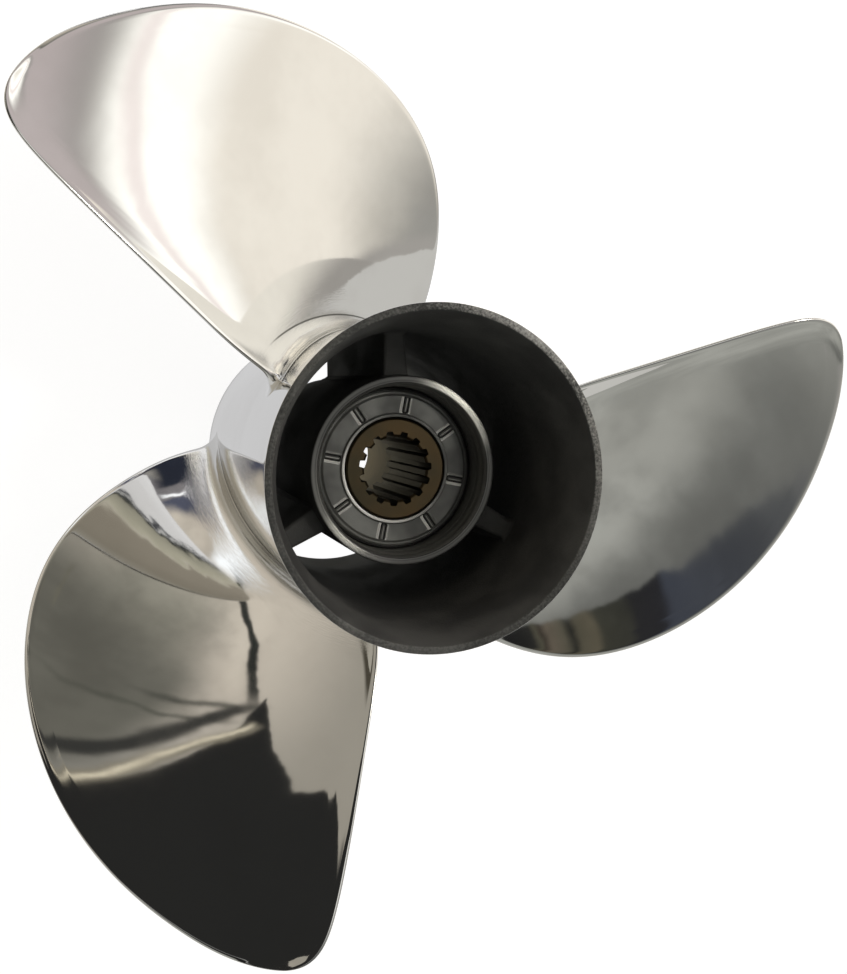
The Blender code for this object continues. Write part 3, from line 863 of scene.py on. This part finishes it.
def makeWeb(number):
    shape = webShape
    inner = hubShape["frontRadius"] - shape["sink"]
    outer = barrelShape["radius"] - barrelShape["wall"] + shape["sink"]
    deselectAll()
    bpy.ops.mesh.primitive_cube_add(size=1, location=(0, 0, 0))
    obj = bpy.context.object
    bevel = shape["cornerBevel"]
    setMode("EDIT")
    bpy.ops.mesh.select_all(action="SELECT")
    bpy.ops.mesh.bevel(offset=bevel, segments=shape["cornerSegments"], profile=0.5, affect="EDGES")
    setMode("OBJECT")
    middle = (webLow + webHigh) / 2
    corner = shape["edge"] / (2 * bevel)
    for vert in obj.data.vertices:
        share = vert.co.x + 0.5
        radius = inner + (outer - inner) * (1 - math.cos(math.pi * share)) / 2
        height = middle + math.copysign((webHigh - webLow) / 2, vert.co.z)
        gap = min(radius - hubRadius(height), barrelShape["radius"] - barrelShape["wall"] - radius)
        gap = min(max(gap, 0.0), shape["fillet"])
        spread = shape["fillet"] - math.sqrt(shape["fillet"] ** 2 - (shape["fillet"] - gap) ** 2)
        place = []
        for part, half in ((vert.co.y, shape["thickness"] / 2), (vert.co.z, (webHigh - webLow) / 2)):
            reach = abs(part) * 2
            reach = half + spread - (1 - reach) * corner if reach > shape["cornerStart"] else 0
            place.append(math.copysign(reach, part))
        vert.co = (radius * mm, place[0] * mm, (middle + place[1]) * mm)
    obj.rotation_euler.z = math.radians(shape["firstAngle"] + 360 / shape["count"] * (number - 1))
    obj.data.materials.append(castDark)
    smoothFaces(obj, 50)
    return settlePiece(obj, f"passageWeb{number}", "cast_steel", f"web_{number}")


for webNumber in range(1, webShape["count"] + 1):
    makeWeb(webNumber)


# The rubber bush, which shows in the gap round the plate and at the front
bushShape = {
    "outer": 32.9, "inner": 20.6, "edge": 0.9, "dish": 1.6, "outerLip": 3, "innerLip": 2.5, "segments": 160,
}


def makeBush():
    shape = bushShape
    middle = (shape["outer"] + shape["inner"]) / 2
    profile = [
        (shape["outer"], bushHigh), (shape["outer"], bushLow),
        (shape["outer"] - shape["outerLip"], bushLow), (middle, bushLow + shape["dish"]),
        (shape["inner"] + shape["innerLip"], bushLow),
        (shape["inner"], bushLow), (shape["inner"], bushHigh),
    ]
    obj = turnPiece("bushPiece", profile, shape["segments"])
    roundEdges(obj, shape["edge"], 3, 25)
    obj.data.materials.append(rubberBlack)
    smoothFaces(obj)
    return settlePiece(obj, "rubberDriveBush", "rubber", "rubber_bush")


makeBush()


# The stamped plate: a lip round the sleeve, eight pressed ribs and a stepped rim
plateShape = {
    "radius": 31.8, "bore": 20.9, "thickness": 1.4, "lipWidth": 1.2, "lipHeight": 1.3, "lipFillet": 0.7,
    "stepRadius": 29.4, "step": 0.8, "edge": 0.25, "segments": 640, "ringStep": 0.22, "flat": 0.02,
    "ribs": 8, "firstRib": 79.0, "ribRadius": 26.2, "ribHalfLength": 2.6, "ribReach": 2.6,
    "ribWaves": ((0.0, 0.85, 0.55), (1.0, 0.5, -0.4), (1.65, 0.6, 0.3)),
    "ribLipHighlight": ((0.0, 0.55, 0.7), (1.75, 0.9, 2.2)), "ribPaintedShade": ((0.97, 0.38, -1.4),),
    "ribPaintedLight": (0.55, 0.45), "lipTop": 0.3,
}


def ribPlace(x, y):
    # the nearest rib's angle, and the place along and across it from its middle
    shape = plateShape
    step = 360 / shape["ribs"]
    turn = math.atan2(y, x)
    near = math.radians(shape["firstRib"] + step * round((math.degrees(turn) - shape["firstRib"]) / step))
    radius = math.hypot(x, y)
    return near, radius * math.cos(turn - near) - shape["ribRadius"], radius * math.sin(turn - near)


def nearRib(x, y):
    _, along, across = ribPlace(x, y)
    reach = plateShape["ribReach"]
    return abs(along) < plateShape["ribHalfLength"] + reach and abs(across) < reach


def facesLeft(x, y, length):
    # 1 where the direction points to the lower left, and -1 where it points to the upper right
    return -(x + y) / length / math.sqrt(2)


def fromRib(x, y):
    # the distance to the nearest rib's middle line, and how far this side of it faces the lower left
    near, along, across = ribPlace(x, y)
    beyond = math.copysign(max(abs(along) - plateShape["ribHalfLength"], 0.0), along)
    away = math.hypot(beyond, across)
    sideX = beyond * math.cos(near) - across * math.sin(near)
    sideY = beyond * math.sin(near) + across * math.cos(near)
    return away, facesLeft(sideX, sideY, max(away, 0.001))


def ribWave(away, waves):
    # the sum of smooth humps, each with its middle, half width and height
    total = 0.0
    for middle, width, height in waves:
        share = max(0.0, 1 - abs(away - middle) / width)
        total += height * share * share * (3 - 2 * share)
    return total


def makePlate():
    shape = plateShape
    face = plateHigh - shape["lipHeight"]
    back = face - shape["thickness"]
    lipRadius = shape["bore"] + shape["lipWidth"]
    profile = [(shape["bore"], plateHigh), (lipRadius, plateHigh)]
    fillet = shape["lipFillet"]
    for i in range(7):
        turn = math.pi / 2 * i / 6
        profile.append((lipRadius + fillet * (1 - math.cos(turn)), face + fillet * (1 - math.sin(turn))))
    flatStart = lipRadius + fillet
    rings = round((shape["stepRadius"] - flatStart) / shape["ringStep"])
    for i in range(1, rings + 1):
        profile.append((flatStart + (shape["stepRadius"] - flatStart) * i / rings, face))
    step = shape["step"]
    profile += [
        (shape["stepRadius"] + step, face - step), (shape["radius"] - step, face - step),
        (shape["radius"], face - 2 * step), (shape["radius"], back - step),
        (shape["stepRadius"], back - step), (shape["stepRadius"] - step, back), (shape["bore"], back),
    ]
    obj = turnPiece("platePiece", profile, shape["segments"])
    roundEdges(obj, shape["edge"], 3, 30)
    # finer faces where the ribs are pressed
    useOnly(obj)
    setMode("EDIT")
    bpy.ops.mesh.select_all(action="DESELECT")
    setMode("OBJECT")
    for polygon in obj.data.polygons:
        x, y, z = (part / mm for part in polygon.center)
        polygon.select = abs(z - face) < shape["flat"] and nearRib(x, y)
    setMode("EDIT")
    bpy.ops.mesh.subdivide(number_cuts=1)
    setMode("OBJECT")
    # each point stores painted light: highlights on the ribs' middles and feet, brighter towards the lower
    # left, and painted shade along the ribs' sides
    sheenAndWear = obj.data.attributes.new("ribPaintedLight", "FLOAT", "POINT")
    even, leaning = shape["ribPaintedLight"]
    for vert in obj.data.vertices:
        x, y, z = (part / mm for part in vert.co)
        if abs(z - face) < shape["flat"]:
            away, facing = fromRib(x, y)
            vert.co.z += ribWave(away, shape["ribWaves"]) * mm
            polishAndPaintedLight = ribWave(away, shape["ribLipHighlight"]) * (even + leaning * facing)
            sheenAndWear.data[vert.index].value = polishAndPaintedLight + ribWave(away, shape["ribPaintedShade"])
        # and a painted highlight on the lip's top, strongest on its lower-left side
        elif z > plateHigh - shape["lipTop"]:
            sheenAndWear.data[vert.index].value = (0.5 + 0.5 * facesLeft(x, y, math.hypot(x, y))) ** 2
    obj.data.materials.append(steelStamped)
    smoothFaces(obj, 60)
    return settlePiece(obj, "stampedRetainerPlate", "satin_steel", "retainer_plate")


makePlate()


# The bronze sleeve: fifteen grooves down to the taper
sleeveShape = {
    "radius": 20.3, "chamfer": 0.6, "teeth": 15, "firstAngle": 3.0, "major": 14.9, "minor": 12.9,
    "splineEnd": 122.0, "mouthRadius": 17.0, "faceRadius": 17.5, "toothRadius": 15.2,
    "toothAngles": (0, 2.0, 3.9, 4.75, 5.3, 5.9, 6.5, 7.1, 8.6, 10.3),
    "toothShares": (0, 0, 0, 0.06, 0.3, 0.68, 0.94, 1, 1, 1),
}


def makeSleeve():
    shape = sleeveShape
    angles, shares = [], []
    step = 360 / shape["teeth"]
    for tooth in range(shape["teeth"]):
        forward = list(zip(shape["toothAngles"], shape["toothShares"]))
        middle = [(step / 2, 1)]
        backward = [(step - angle, share) for angle, share in reversed(forward[1:])]
        for angle, share in forward + middle + backward:
            angles.append(shape["firstAngle"] + step * tooth + angle)
            shares.append(share)
    splineEnd = rimZ - shape["splineEnd"]
    top, bottom = sleeveHigh, sleeveLow
    major, chamfer = shape["major"], shape["chamfer"]
    # each ring is (radius, height, 1 where the teeth stand in from that radius)
    rings = [
        (shape["radius"] - chamfer, top, 0), (shape["radius"], top - chamfer, 0),
        (shape["radius"], bottom + chamfer, 0), (shape["radius"] - chamfer, bottom, 0),
        (shape["mouthRadius"], bottom, 0), (major + 0.3, splineEnd - 0.6, 0), (major, splineEnd - 0.4, 0.25),
        (major, splineEnd, 1), (major, (splineEnd * 2 + top) / 3, 1), (major, (splineEnd + top * 2) / 3, 1),
        (major, top - chamfer, 1), (major + 0.25, top, 0.66),
    ]
    obj = turnPiece("sleevePiece", [(radius, height) for radius, height, _ in rings], len(angles))
    depth = shape["major"] - shape["minor"]
    for vert in obj.data.vertices:
        radius = math.hypot(vert.co.x, vert.co.y) / mm
        turn = math.degrees(math.atan2(vert.co.y, vert.co.x)) % 360
        index = round((turn - 90) / 360 * len(angles)) % len(angles)
        inward = min(rings, key=lambda ring: abs(ring[0] - radius) + abs(ring[1] - vert.co.z / mm))[2]
        newRadius = radius - depth * inward * shares[index]
        angle = math.radians(angles[index])
        vert.co.x = newRadius * math.cos(angle) * mm
        vert.co.y = newRadius * math.sin(angle) * mm

    def chooser(radius, height, normal):
        if radius > shape["faceRadius"] or height > top - chamfer * 0.6:
            return 0
        return 2 if height > splineEnd - 0.1 and radius < shape["toothRadius"] else 1

    paintFaces(obj, (bronzeFace, bronzeBore, bronzeTeeth), chooser)
    smoothFaces(obj, 30)
    return settlePiece(obj, "splinedDriveSleeve", "bronze", "spline_sleeve")


makeSleeve()


# The floor: pale to the eye. Reflected rays meet a lit sheet, with bands by compass angle further out.
floorSetup = {
    "size": 30.0, "drop": 0.00005, "paint": 0.45, "glow": 0.84, "throughGlow": 1.0,
    "near": (0.7, 0.7, 0.71), "nearFade": (0.12, 0.2),
    "sheet": (0.74, 0.73, 0.7), "sheetSlope": 0.257, "sheetReach": 0.17, "sheetWaver": 0.004,
    "sheetEdge": 0.006,
    "shade": (0.46, 0.44, 0.41), "cream": (1.16, 1.11, 1.0), "creamFade": (0.1, 0.42),
    "leftAngle": 75, "waver": 7.0, "waverScale": 13.0,
    "passage": (0.3, 0.3, 0.28), "passageFade": (0.056, 0.06),
    "bore": (0.85, 0.78, 0.58), "boreFade": (0.019, 0.021),
}
# angle, colour
floorBands = (
    (90, (1.25, 1.25, 1.27)), (108.4, (1.25, 1.25, 1.27)), (109, (0.05, 0.055, 0.07)),
    (109.8, (0.05, 0.055, 0.07)), (110.3, (0.95, 0.95, 0.95)), (111, (0.9, 0.9, 0.9)),
    (111.5, (0.06, 0.065, 0.07)), (113, (0.07, 0.075, 0.07)), (114, (0.55, 0.53, 0.43)),
    (122.5, (0.78, 0.75, 0.6)), (124.3, (0.88, 0.83, 0.7)), (125.3, (0.5, 0.45, 0.37)),
    (150, (0.42, 0.38, 0.31)), (165, (0.5, 0.47, 0.4)),
)


def colourBands(tree, value, bands):
    # a ramp through (value, colour) stops
    low, high = bands[0][0], bands[-1][0]
    ramp = addNode(tree, "ShaderNodeValToRGB")
    stops = ramp.color_ramp.elements
    for _ in bands[2:]:
        stops.new(1.0)
    for stop, (place, colour) in zip(stops, bands):
        stop.position = (place - low) / (high - low)
        stop.color = (*colour, 1)
    feed(tree, ramp.inputs[0], remap(tree, value, low, high, smooth=False))
    return ramp.outputs[0]


def floorPattern(tree):
    # what the polished faces see of it, by distance and compass angle
    setup = floorSetup
    place, parts, radius = placeParts(tree)
    angle = mathNode(tree, "ARCTAN2", parts[1], parts[0])
    angle = mathNode(tree, "MULTIPLY", angle, 180 / math.pi)
    waver = addNoise(tree, place, setup["waverScale"], 4.0, 0.6)[0]
    reach = setup["waver"]
    shift = mathNode(tree, "MULTIPLY_ADD", waver, reach * 2, -reach)
    bands = colourBands(tree, mathNode(tree, "ADD", angle, shift), floorBands)
    along = mathNode(tree, "MULTIPLY_ADD", parts[0], setup["sheetSlope"], parts[1])
    along = mathNode(tree, "SUBTRACT", along, setup["sheetReach"])
    beyond = mathNode(tree, "DIVIDE", along, radius)
    beyond = mathNode(tree, "MULTIPLY_ADD", shift, setup["sheetWaver"], beyond)
    rise = remap(tree, beyond, *setup["creamFade"])
    tint = mixColours(tree, rise, setup["shade"], setup["cream"])
    edge = remap(tree, beyond, -setup["sheetEdge"], setup["sheetEdge"])
    tint = mixColours(tree, edge, setup["sheet"], tint)
    left = mathNode(tree, "GREATER_THAN", angle, setup["leftAngle"])
    tint = mixColours(tree, left, tint, bands)
    # painted shade on the sheet: darker round the barrel's foot, and darker still under its passages
    outer = remap(tree, radius, *setup["nearFade"])
    tint = mixColours(tree, outer, setup["near"], tint)
    under = remap(tree, radius, *setup["passageFade"])
    tint = mixColours(tree, under, setup["passage"], tint)
    bore = remap(tree, radius, *setup["boreFade"], 1.0, 0.0)
    return mixColours(tree, bore, tint, setup["bore"]), under


def makeFloor():
    setup = floorSetup
    deselectAll()
    bpy.ops.mesh.primitive_plane_add(size=setup["size"], location=(0, 0, frontZ * mm - setup["drop"]))
    floor = bpy.context.object
    floor.name = "paleFloor"
    settlePlace(floor)
    material, tree, shader = newMaterial("paleFloor", 0.0, 0.9, Specular_IOR_Level=0.1)
    shader.inputs["Base Color"].default_value = (*(setup["paint"],) * 3, 1)
    tint, under = floorPattern(tree)
    mirrored = addNode(tree, "ShaderNodeEmission", Color=tint)
    # to the eye the floor glows brighter under the passages, a painted light over the propeller's shade
    glow = remap(tree, under, 0.0, 1.0, setup["throughGlow"], setup["glow"])
    even = addNode(tree, "ShaderNodeEmission", Color=(1, 1, 1, 1), Strength=glow)
    painted = addNode(tree, "ShaderNodeAddShader")
    feed(tree, painted.inputs[0], shader.outputs[0])
    feed(tree, painted.inputs[1], even.outputs[0])
    seen = addNode(tree, "ShaderNodeLightPath")
    lit = mixLights(tree, seen.outputs["Is Camera Ray"], mirrored.outputs[0], painted.outputs[0])
    # from below it lets the front end show
    through = addNode(tree, "ShaderNodeBsdfTransparent")
    side = addNode(tree, "ShaderNodeNewGeometry")
    lit = mixLights(tree, side.outputs["Backfacing"], lit, through.outputs[0])
    feed(tree, tree.nodes["Material Output"].inputs["Surface"], lit)
    floor.data.materials.append(material)


makeFloor()

# The studio round the propeller: soft cards by compass angle and height, in three sides.
# Angles are in degrees, from +X towards +Y, and run from firstAzimuth to firstAzimuth + 360.
studioBase = {
    "low": (0.55, 0.53, 0.48), "high": (0.33, 0.33, 0.32), "rise": (0, 60),
    "zenith": (0.95, 0.94, 0.89), "zenithRise": (67, 80),
    "waver": 1.9, "waverScale": 8.0, "backdrop": (0.98, 0.98, 0.98), "firstAzimuth": -150,
    "cloudScale": 4.5, "cloudFade": (0.38, 0.64), "cloudLight": (1.1, 0.87), "calmFade": (122, 132),
}
duskEdge = (
    (-150, 36), (-134, 37.6), (-128, 39), (-121, 40.2), (-115, 41.3), (-108, 42.2), (-100, 43),
    (-92, 44), (-80, 44.2), (-70, 44.6), (-60, 44.9), (-45, 46.2),
)
duskBands = (
    (-137, (0.02, 0.02, 0.02)), (-131.5, (0.03, 0.03, 0.028)), (-130, (0.1, 0.095, 0.07)),
    (-129, (0.06, 0.05, 0.04)), (-127.5, (0.16, 0.135, 0.105)), (-124, (0.13, 0.12, 0.09)),
    (-123.2, (0.09, 0.085, 0.065)), (-121.6, (0.02, 0.021, 0.02)), (-120, (0.12, 0.11, 0.08)),
    (-116.5, (0.14, 0.125, 0.09)), (-115, (0.06, 0.06, 0.048)), (-108, (0.05, 0.05, 0.042)),
    (-106, (0.03, 0.03, 0.032)), (-99, (0.028, 0.028, 0.032)), (-97, (0.065, 0.073, 0.095)),
    (-80, (0.08, 0.086, 0.1)), (-66, (0.11, 0.115, 0.12)), (-55, (0.25, 0.25, 0.25)),
)
blackEdge = (
    (120, 70), (124, 65), (126, 61), (127.5, 57), (129, 53), (130.5, 49.5), (132, 45), (133, 40),
    (133.8, 37.6), (135.5, 39.2), (138.5, 42.5), (142, 45.7), (145, 47.9), (148, 49.8), (151, 51.2),
    (155, 50.8), (158.5, 49.6), (160.5, 47), (162, 42.5), (165, 39), (169, 36.5), (172, 34), (178, 34),
    (195, 36),
)
gapLine = ((10, 108.5), (16, 112.5), (22, 118), (27, 123.6), (31, 126), (34, 127.8), (38, 130.8), (41, 133.5))
shadeLine = ((40, 131.5), (43, 128), (46, 125.2), (50, 122.8), (53, 121.6), (57.5, 119.6), (61, 117))
glowLine = (
    (42.5, 135.5), (44.5, 134), (46.5, 131.6), (48.5, 129.6), (51, 127.6), (54, 126.3), (57.5, 125.6),
    (61, 126.5),
)
coreLine = (
    (43, 134.6), (44.5, 133.4), (46.5, 131), (48.5, 129), (51, 127.2), (54, 126), (57.5, 125.6), (61, 127),
)
# Each side: the azimuth where it ends, and its cards. Each card: az, or a line of (el, az); el, or a lower
# edge of (az, el); half width and height; softness across and up; lean in degrees of az for each of el;
# colour, or bands of colour by az.
studioSides = [
    (-45, [
        ("greyCard", -90, 10, 50, 38, 7, 8, 0.0, (0.46, 0.465, 0.43)),
        ("greyFade", -98, 56, 49, 19.5, 13, 6, 0.0, (0.21, 0.213, 0.2)),
        ("duskCard", -95, duskEdge, 62, 12, 10, 0.4, 0.0, duskBands),
    ]),
    (62, [
        ("creamCard", 8, 15, 19, 45, 11, 6, 0.0, (1.25, 1.18, 1.06)),
        ("brightCard", 23, 46, 7.5, 52, 4, 6, -0.17, (1.7, 1.68, 1.6)),
        ("brightSeam", 28.5, 24, 1.2, 40, 1.0, 4, 0.0, (1.35, 1.24, 1.2)),
        ("mauveCard", 48.5, 36, 12.5, 32, 5.5, 6, 0.0, (0.71, 0.635, 0.63)),
        ("cornerShade", -27, 16, 7, 9, 3.5, 4, 0.0, (0.45, 0.44, 0.41)),
        ("sheetShade", -19, 5, 3.4, 10, 3.2, 4, -1.2, (0.5, 0.48, 0.45)),
        ("lowSheet", -29, 0, 14, 12, 0.25, 1.5, -1.2, (0.74, 0.73, 0.7)),
        ("lowGlow", 50, 0, 9, 7, 3, 2, 0.0, (2.2, 2.05, 1.75)),
        ("topLamp", 16, 62, 7, 3.6, 2, 1.5, 0.0, (21.0, 20.4, 18.6)),
    ]),
    (210, [
        ("warmCard", 130, 14, 56, 40, 10, 18, 0.0, (0.76, 0.69, 0.59)),
        ("leftShade", 98, 34, 14, 14, 9, 10, 0.0, (0.44, 0.42, 0.35)),
        ("farCard", 170, 30, 28, 36, 17, 12, -0.3, (0.44, 0.41, 0.35)),
        ("slateCard", 94, 54, 29, 20, 6, 12, 0.3, (0.17, 0.165, 0.14)),
        ("leftCrease", 88, 42.5, 0.5, 2.6, 0.4, 1.0, 1.2, (0.2, 0.19, 0.15)),
        ("fanShade", 123, 43, 1.6, 3.5, 1.4, 1.5, -2.75, (0.1, 0.1, 0.085)),
        ("fanLine", 116, 48.5, 1.3, 4.0, 1.2, 1.5, -3.2, (0.12, 0.12, 0.1)),
        ("blackCard", 160, blackEdge, 45, 20, 0.8, 0.3, 0.0, (0.027, 0.027, 0.026)),
        ("blackTail", 184, 23, 13, 15, 1.5, 2, 0.15, (0.027, 0.027, 0.026)),
        ("streakShade", shadeLine, 50, 1.9, 10, 1.0, 1.5, 0.0, (0.045, 0.045, 0.042)),
        ("streakGlow", glowLine, 52.3, 1.6, 9.6, 1.0, 0.8, 0.0, (0.27, 0.245, 0.19)),
        ("streakCore", coreLine, 52, 0.6, 8.5, 0.5, 1.5, 0.0, (0.95, 0.86, 0.66)),
        ("lowBright", 106.2, 8.5, 7.5, 6, 2.5, 1.5, 0.0, (1.4, 1.45, 1.5)),
        ("gapLine", gapLine, 25, 1.45, 14.5, 0.5, 3, 0.0, (0.03, 0.033, 0.03)),
        ("lowBlue", 82.5, 7, 4.0, 11, 2.6, 1.5, -1.0, (0.11, 0.12, 0.17)),
        ("lowMauve", 75.5, 7, 3.0, 10, 0.4, 1.5, -0.2, (0.28, 0.265, 0.275)),
        ("lowLine", 78.2, 6, 0.5, 8, 0.25, 1.5, -0.3, (1.5, 1.52, 1.55)),
        ("lowSlate", 67.5, 5, 6.0, 9, 0.6, 2.5, 0.0, (0.032, 0.037, 0.055)),
        ("lowShadow", 178, 0, 21, 6, 5, 3, 0.0, (0.09, 0.08, 0.06)),
    ]),
]


def bentLine(tree, value, points):
    # straight runs through (value, result) points
    low, high = points[0][0], points[-1][0]
    bottom, top = min(point[1] for point in points), max(point[1] for point in points)
    node = addNode(tree, "ShaderNodeFloatCurve")
    curve = node.mapping.curves[0]
    spots = [((along - low) / (high - low), (result - bottom) / (top - bottom)) for along, result in points]
    curve.points[0].location = spots[0]
    curve.points[1].location = spots[-1]
    for spot in spots[1:-1]:
        curve.points.new(*spot)
    for point in curve.points:
        point.handle_type = "VECTOR"
    node.mapping.update()
    feed(tree, node.inputs["Value"], remap(tree, value, low, high, smooth=False))
    return mathNode(tree, "MULTIPLY_ADD", node.outputs[0], top - bottom, bottom)


def softCardGroup():
    labels = (
        "Azimuth", "Elevation", "Card azimuth", "Card elevation", "Side in", "Side out", "End in", "End out",
        "Lean",
    )
    group, start, end = newGroup("softCard", dict.fromkeys(labels, 0.0), ("Mask",))
    rise = mathNode(group, "SUBTRACT", start["Elevation"], start["Card elevation"])
    edge = mathNode(group, "MULTIPLY_ADD", rise, start["Lean"], start["Card azimuth"])
    aside = mathNode(group, "SUBTRACT", start["Azimuth"], edge)
    aside = mathNode(group, "ABSOLUTE", aside)
    rise = mathNode(group, "ABSOLUTE", rise)
    across = remap(group, aside, start["Side in"], start["Side out"], 1.0, 0.0)
    upward = remap(group, rise, start["End in"], start["End out"], 1.0, 0.0)
    feed(group, end["Mask"], mathNode(group, "MULTIPLY", across, upward))
    return group


def hangCards(tree, cards, group, azimuth, elevation, colour, strength):
    # lays each card over the ones before it, and lights the result
    for name, az, el, wide, tall, softSide, softEnd, lean, tint in cards:
        if isinstance(az, tuple):
            az = bentLine(tree, elevation, az)
        if isinstance(el, tuple):
            el = mathNode(tree, "ADD", bentLine(tree, azimuth, el), tall)
        if isinstance(tint[0], tuple):
            tint = colourBands(tree, azimuth, tint)
        card = placeGroup(tree, group, **{
            "Azimuth": azimuth, "Elevation": elevation, "Card azimuth": az, "Card elevation": el,
            "Side in": wide - softSide, "Side out": wide + softSide,
            "End in": tall - softEnd, "End out": tall + softEnd, "Lean": lean,
        })
        card.label = name
        colour = mixColours(tree, card.outputs["Mask"], colour, tint)
    return addNode(tree, "ShaderNodeBackground", Color=colour, Strength=strength).outputs[0]


def makeStudio():
    setup = studioBase
    world = bpy.data.worlds.new("softStudio")
    bpy.context.scene.world = world
    world.use_nodes = True
    tree = world.node_tree
    tree.nodes.clear()
    place = addNode(tree, "ShaderNodeTexCoord").outputs["Generated"]
    waver = addNoise(tree, place, setup["waverScale"], 4.0, 0.55)["Color"]
    parts = addNode(tree, "ShaderNodeSeparateXYZ", Vector=place).outputs
    shifts = addNode(tree, "ShaderNodeSeparateColor", Color=waver).outputs
    azimuth = mathNode(tree, "ARCTAN2", parts[1], parts[0])
    elevation = mathNode(tree, "ARCSINE", parts[2])
    degrees = []
    for value, shift in ((azimuth, shifts[0]), (elevation, shifts[1])):
        angle = mathNode(tree, "MULTIPLY", value, 180 / math.pi)
        reach = setup["waver"]
        wobble = mathNode(tree, "MULTIPLY_ADD", shift, reach * 2, -reach)
        degrees.append(mathNode(tree, "ADD", angle, wobble))
    azimuth, elevation = degrees
    first = setup["firstAzimuth"]
    azimuth = mathNode(tree, "WRAP", azimuth, first + 360, first)
    share = remap(tree, elevation, *setup["rise"])
    base = mixColours(tree, share, setup["low"], setup["high"])
    share = remap(tree, elevation, *setup["zenithRise"])
    base = mixColours(tree, share, base, setup["zenith"])
    # faint clouds over the first side and part of the third
    clouds = addNoise(tree, place, setup["cloudScale"], 5.0, 0.6)[0]
    dimming = remap(tree, clouds, *setup["cloudFade"], *setup["cloudLight"])
    calm = remap(tree, azimuth, *setup["calmFade"])
    calmed = mathNode(tree, "SUBTRACT", 1.0, dimming)
    calmed = mathNode(tree, "MULTIPLY_ADD", calmed, calm, dimming)
    group = softCardGroup()
    light = None
    for i, strength in enumerate((dimming, 1.0, calmed)):
        side = hangCards(tree, studioSides[i][1], group, azimuth, elevation, base, strength)
        if light:
            beyond = mathNode(tree, "GREATER_THAN", azimuth, studioSides[i - 1][0])
            side = mixLights(tree, beyond, light, side)
        light = side
    seen = addNode(tree, "ShaderNodeLightPath")
    backdrop = addNode(tree, "ShaderNodeBackground", Color=(*setup["backdrop"], 1))
    light = mixLights(tree, seen.outputs["Is Camera Ray"], light, backdrop.outputs[0])
    addNode(tree, "ShaderNodeOutputWorld", Surface=light)


makeStudio()
print("studio ready")

# The camera, behind and above the propeller's left
cameraSetup = {
    "place": (-0.13115, 0.03510, 0.52339), "lens": 52.48, "sensor": 36.0, "clip": (0.01, 60.0),
    "right": (0.95834402, 0.0, 0.28561642), "up": (0.02431881, 0.99636857, -0.08159821),
}


def makeCamera():
    setup = cameraSetup
    data = bpy.data.cameras.new("viewCamera")
    data.sensor_fit = "HORIZONTAL"
    data.sensor_width = setup["sensor"]
    data.lens = setup["lens"]
    data.clip_start, data.clip_end = setup["clip"]
    camera = bpy.data.objects.new("viewCamera", data)
    bpy.context.scene.collection.objects.link(camera)
    right, up = Vector(setup["right"]), Vector(setup["up"])
    turn = Matrix((right, up, right.cross(up))).transposed().to_4x4()
    camera.matrix_world = Matrix.Translation(setup["place"]) @ turn
    bpy.context.scene.camera = camera


makeCamera()
bpy.context.scene.view_settings.view_transform = "Standard"
bpy.context.scene.view_settings.look = "None"
bpy.context.scene.cycles.use_denoising = True
deselectAll()
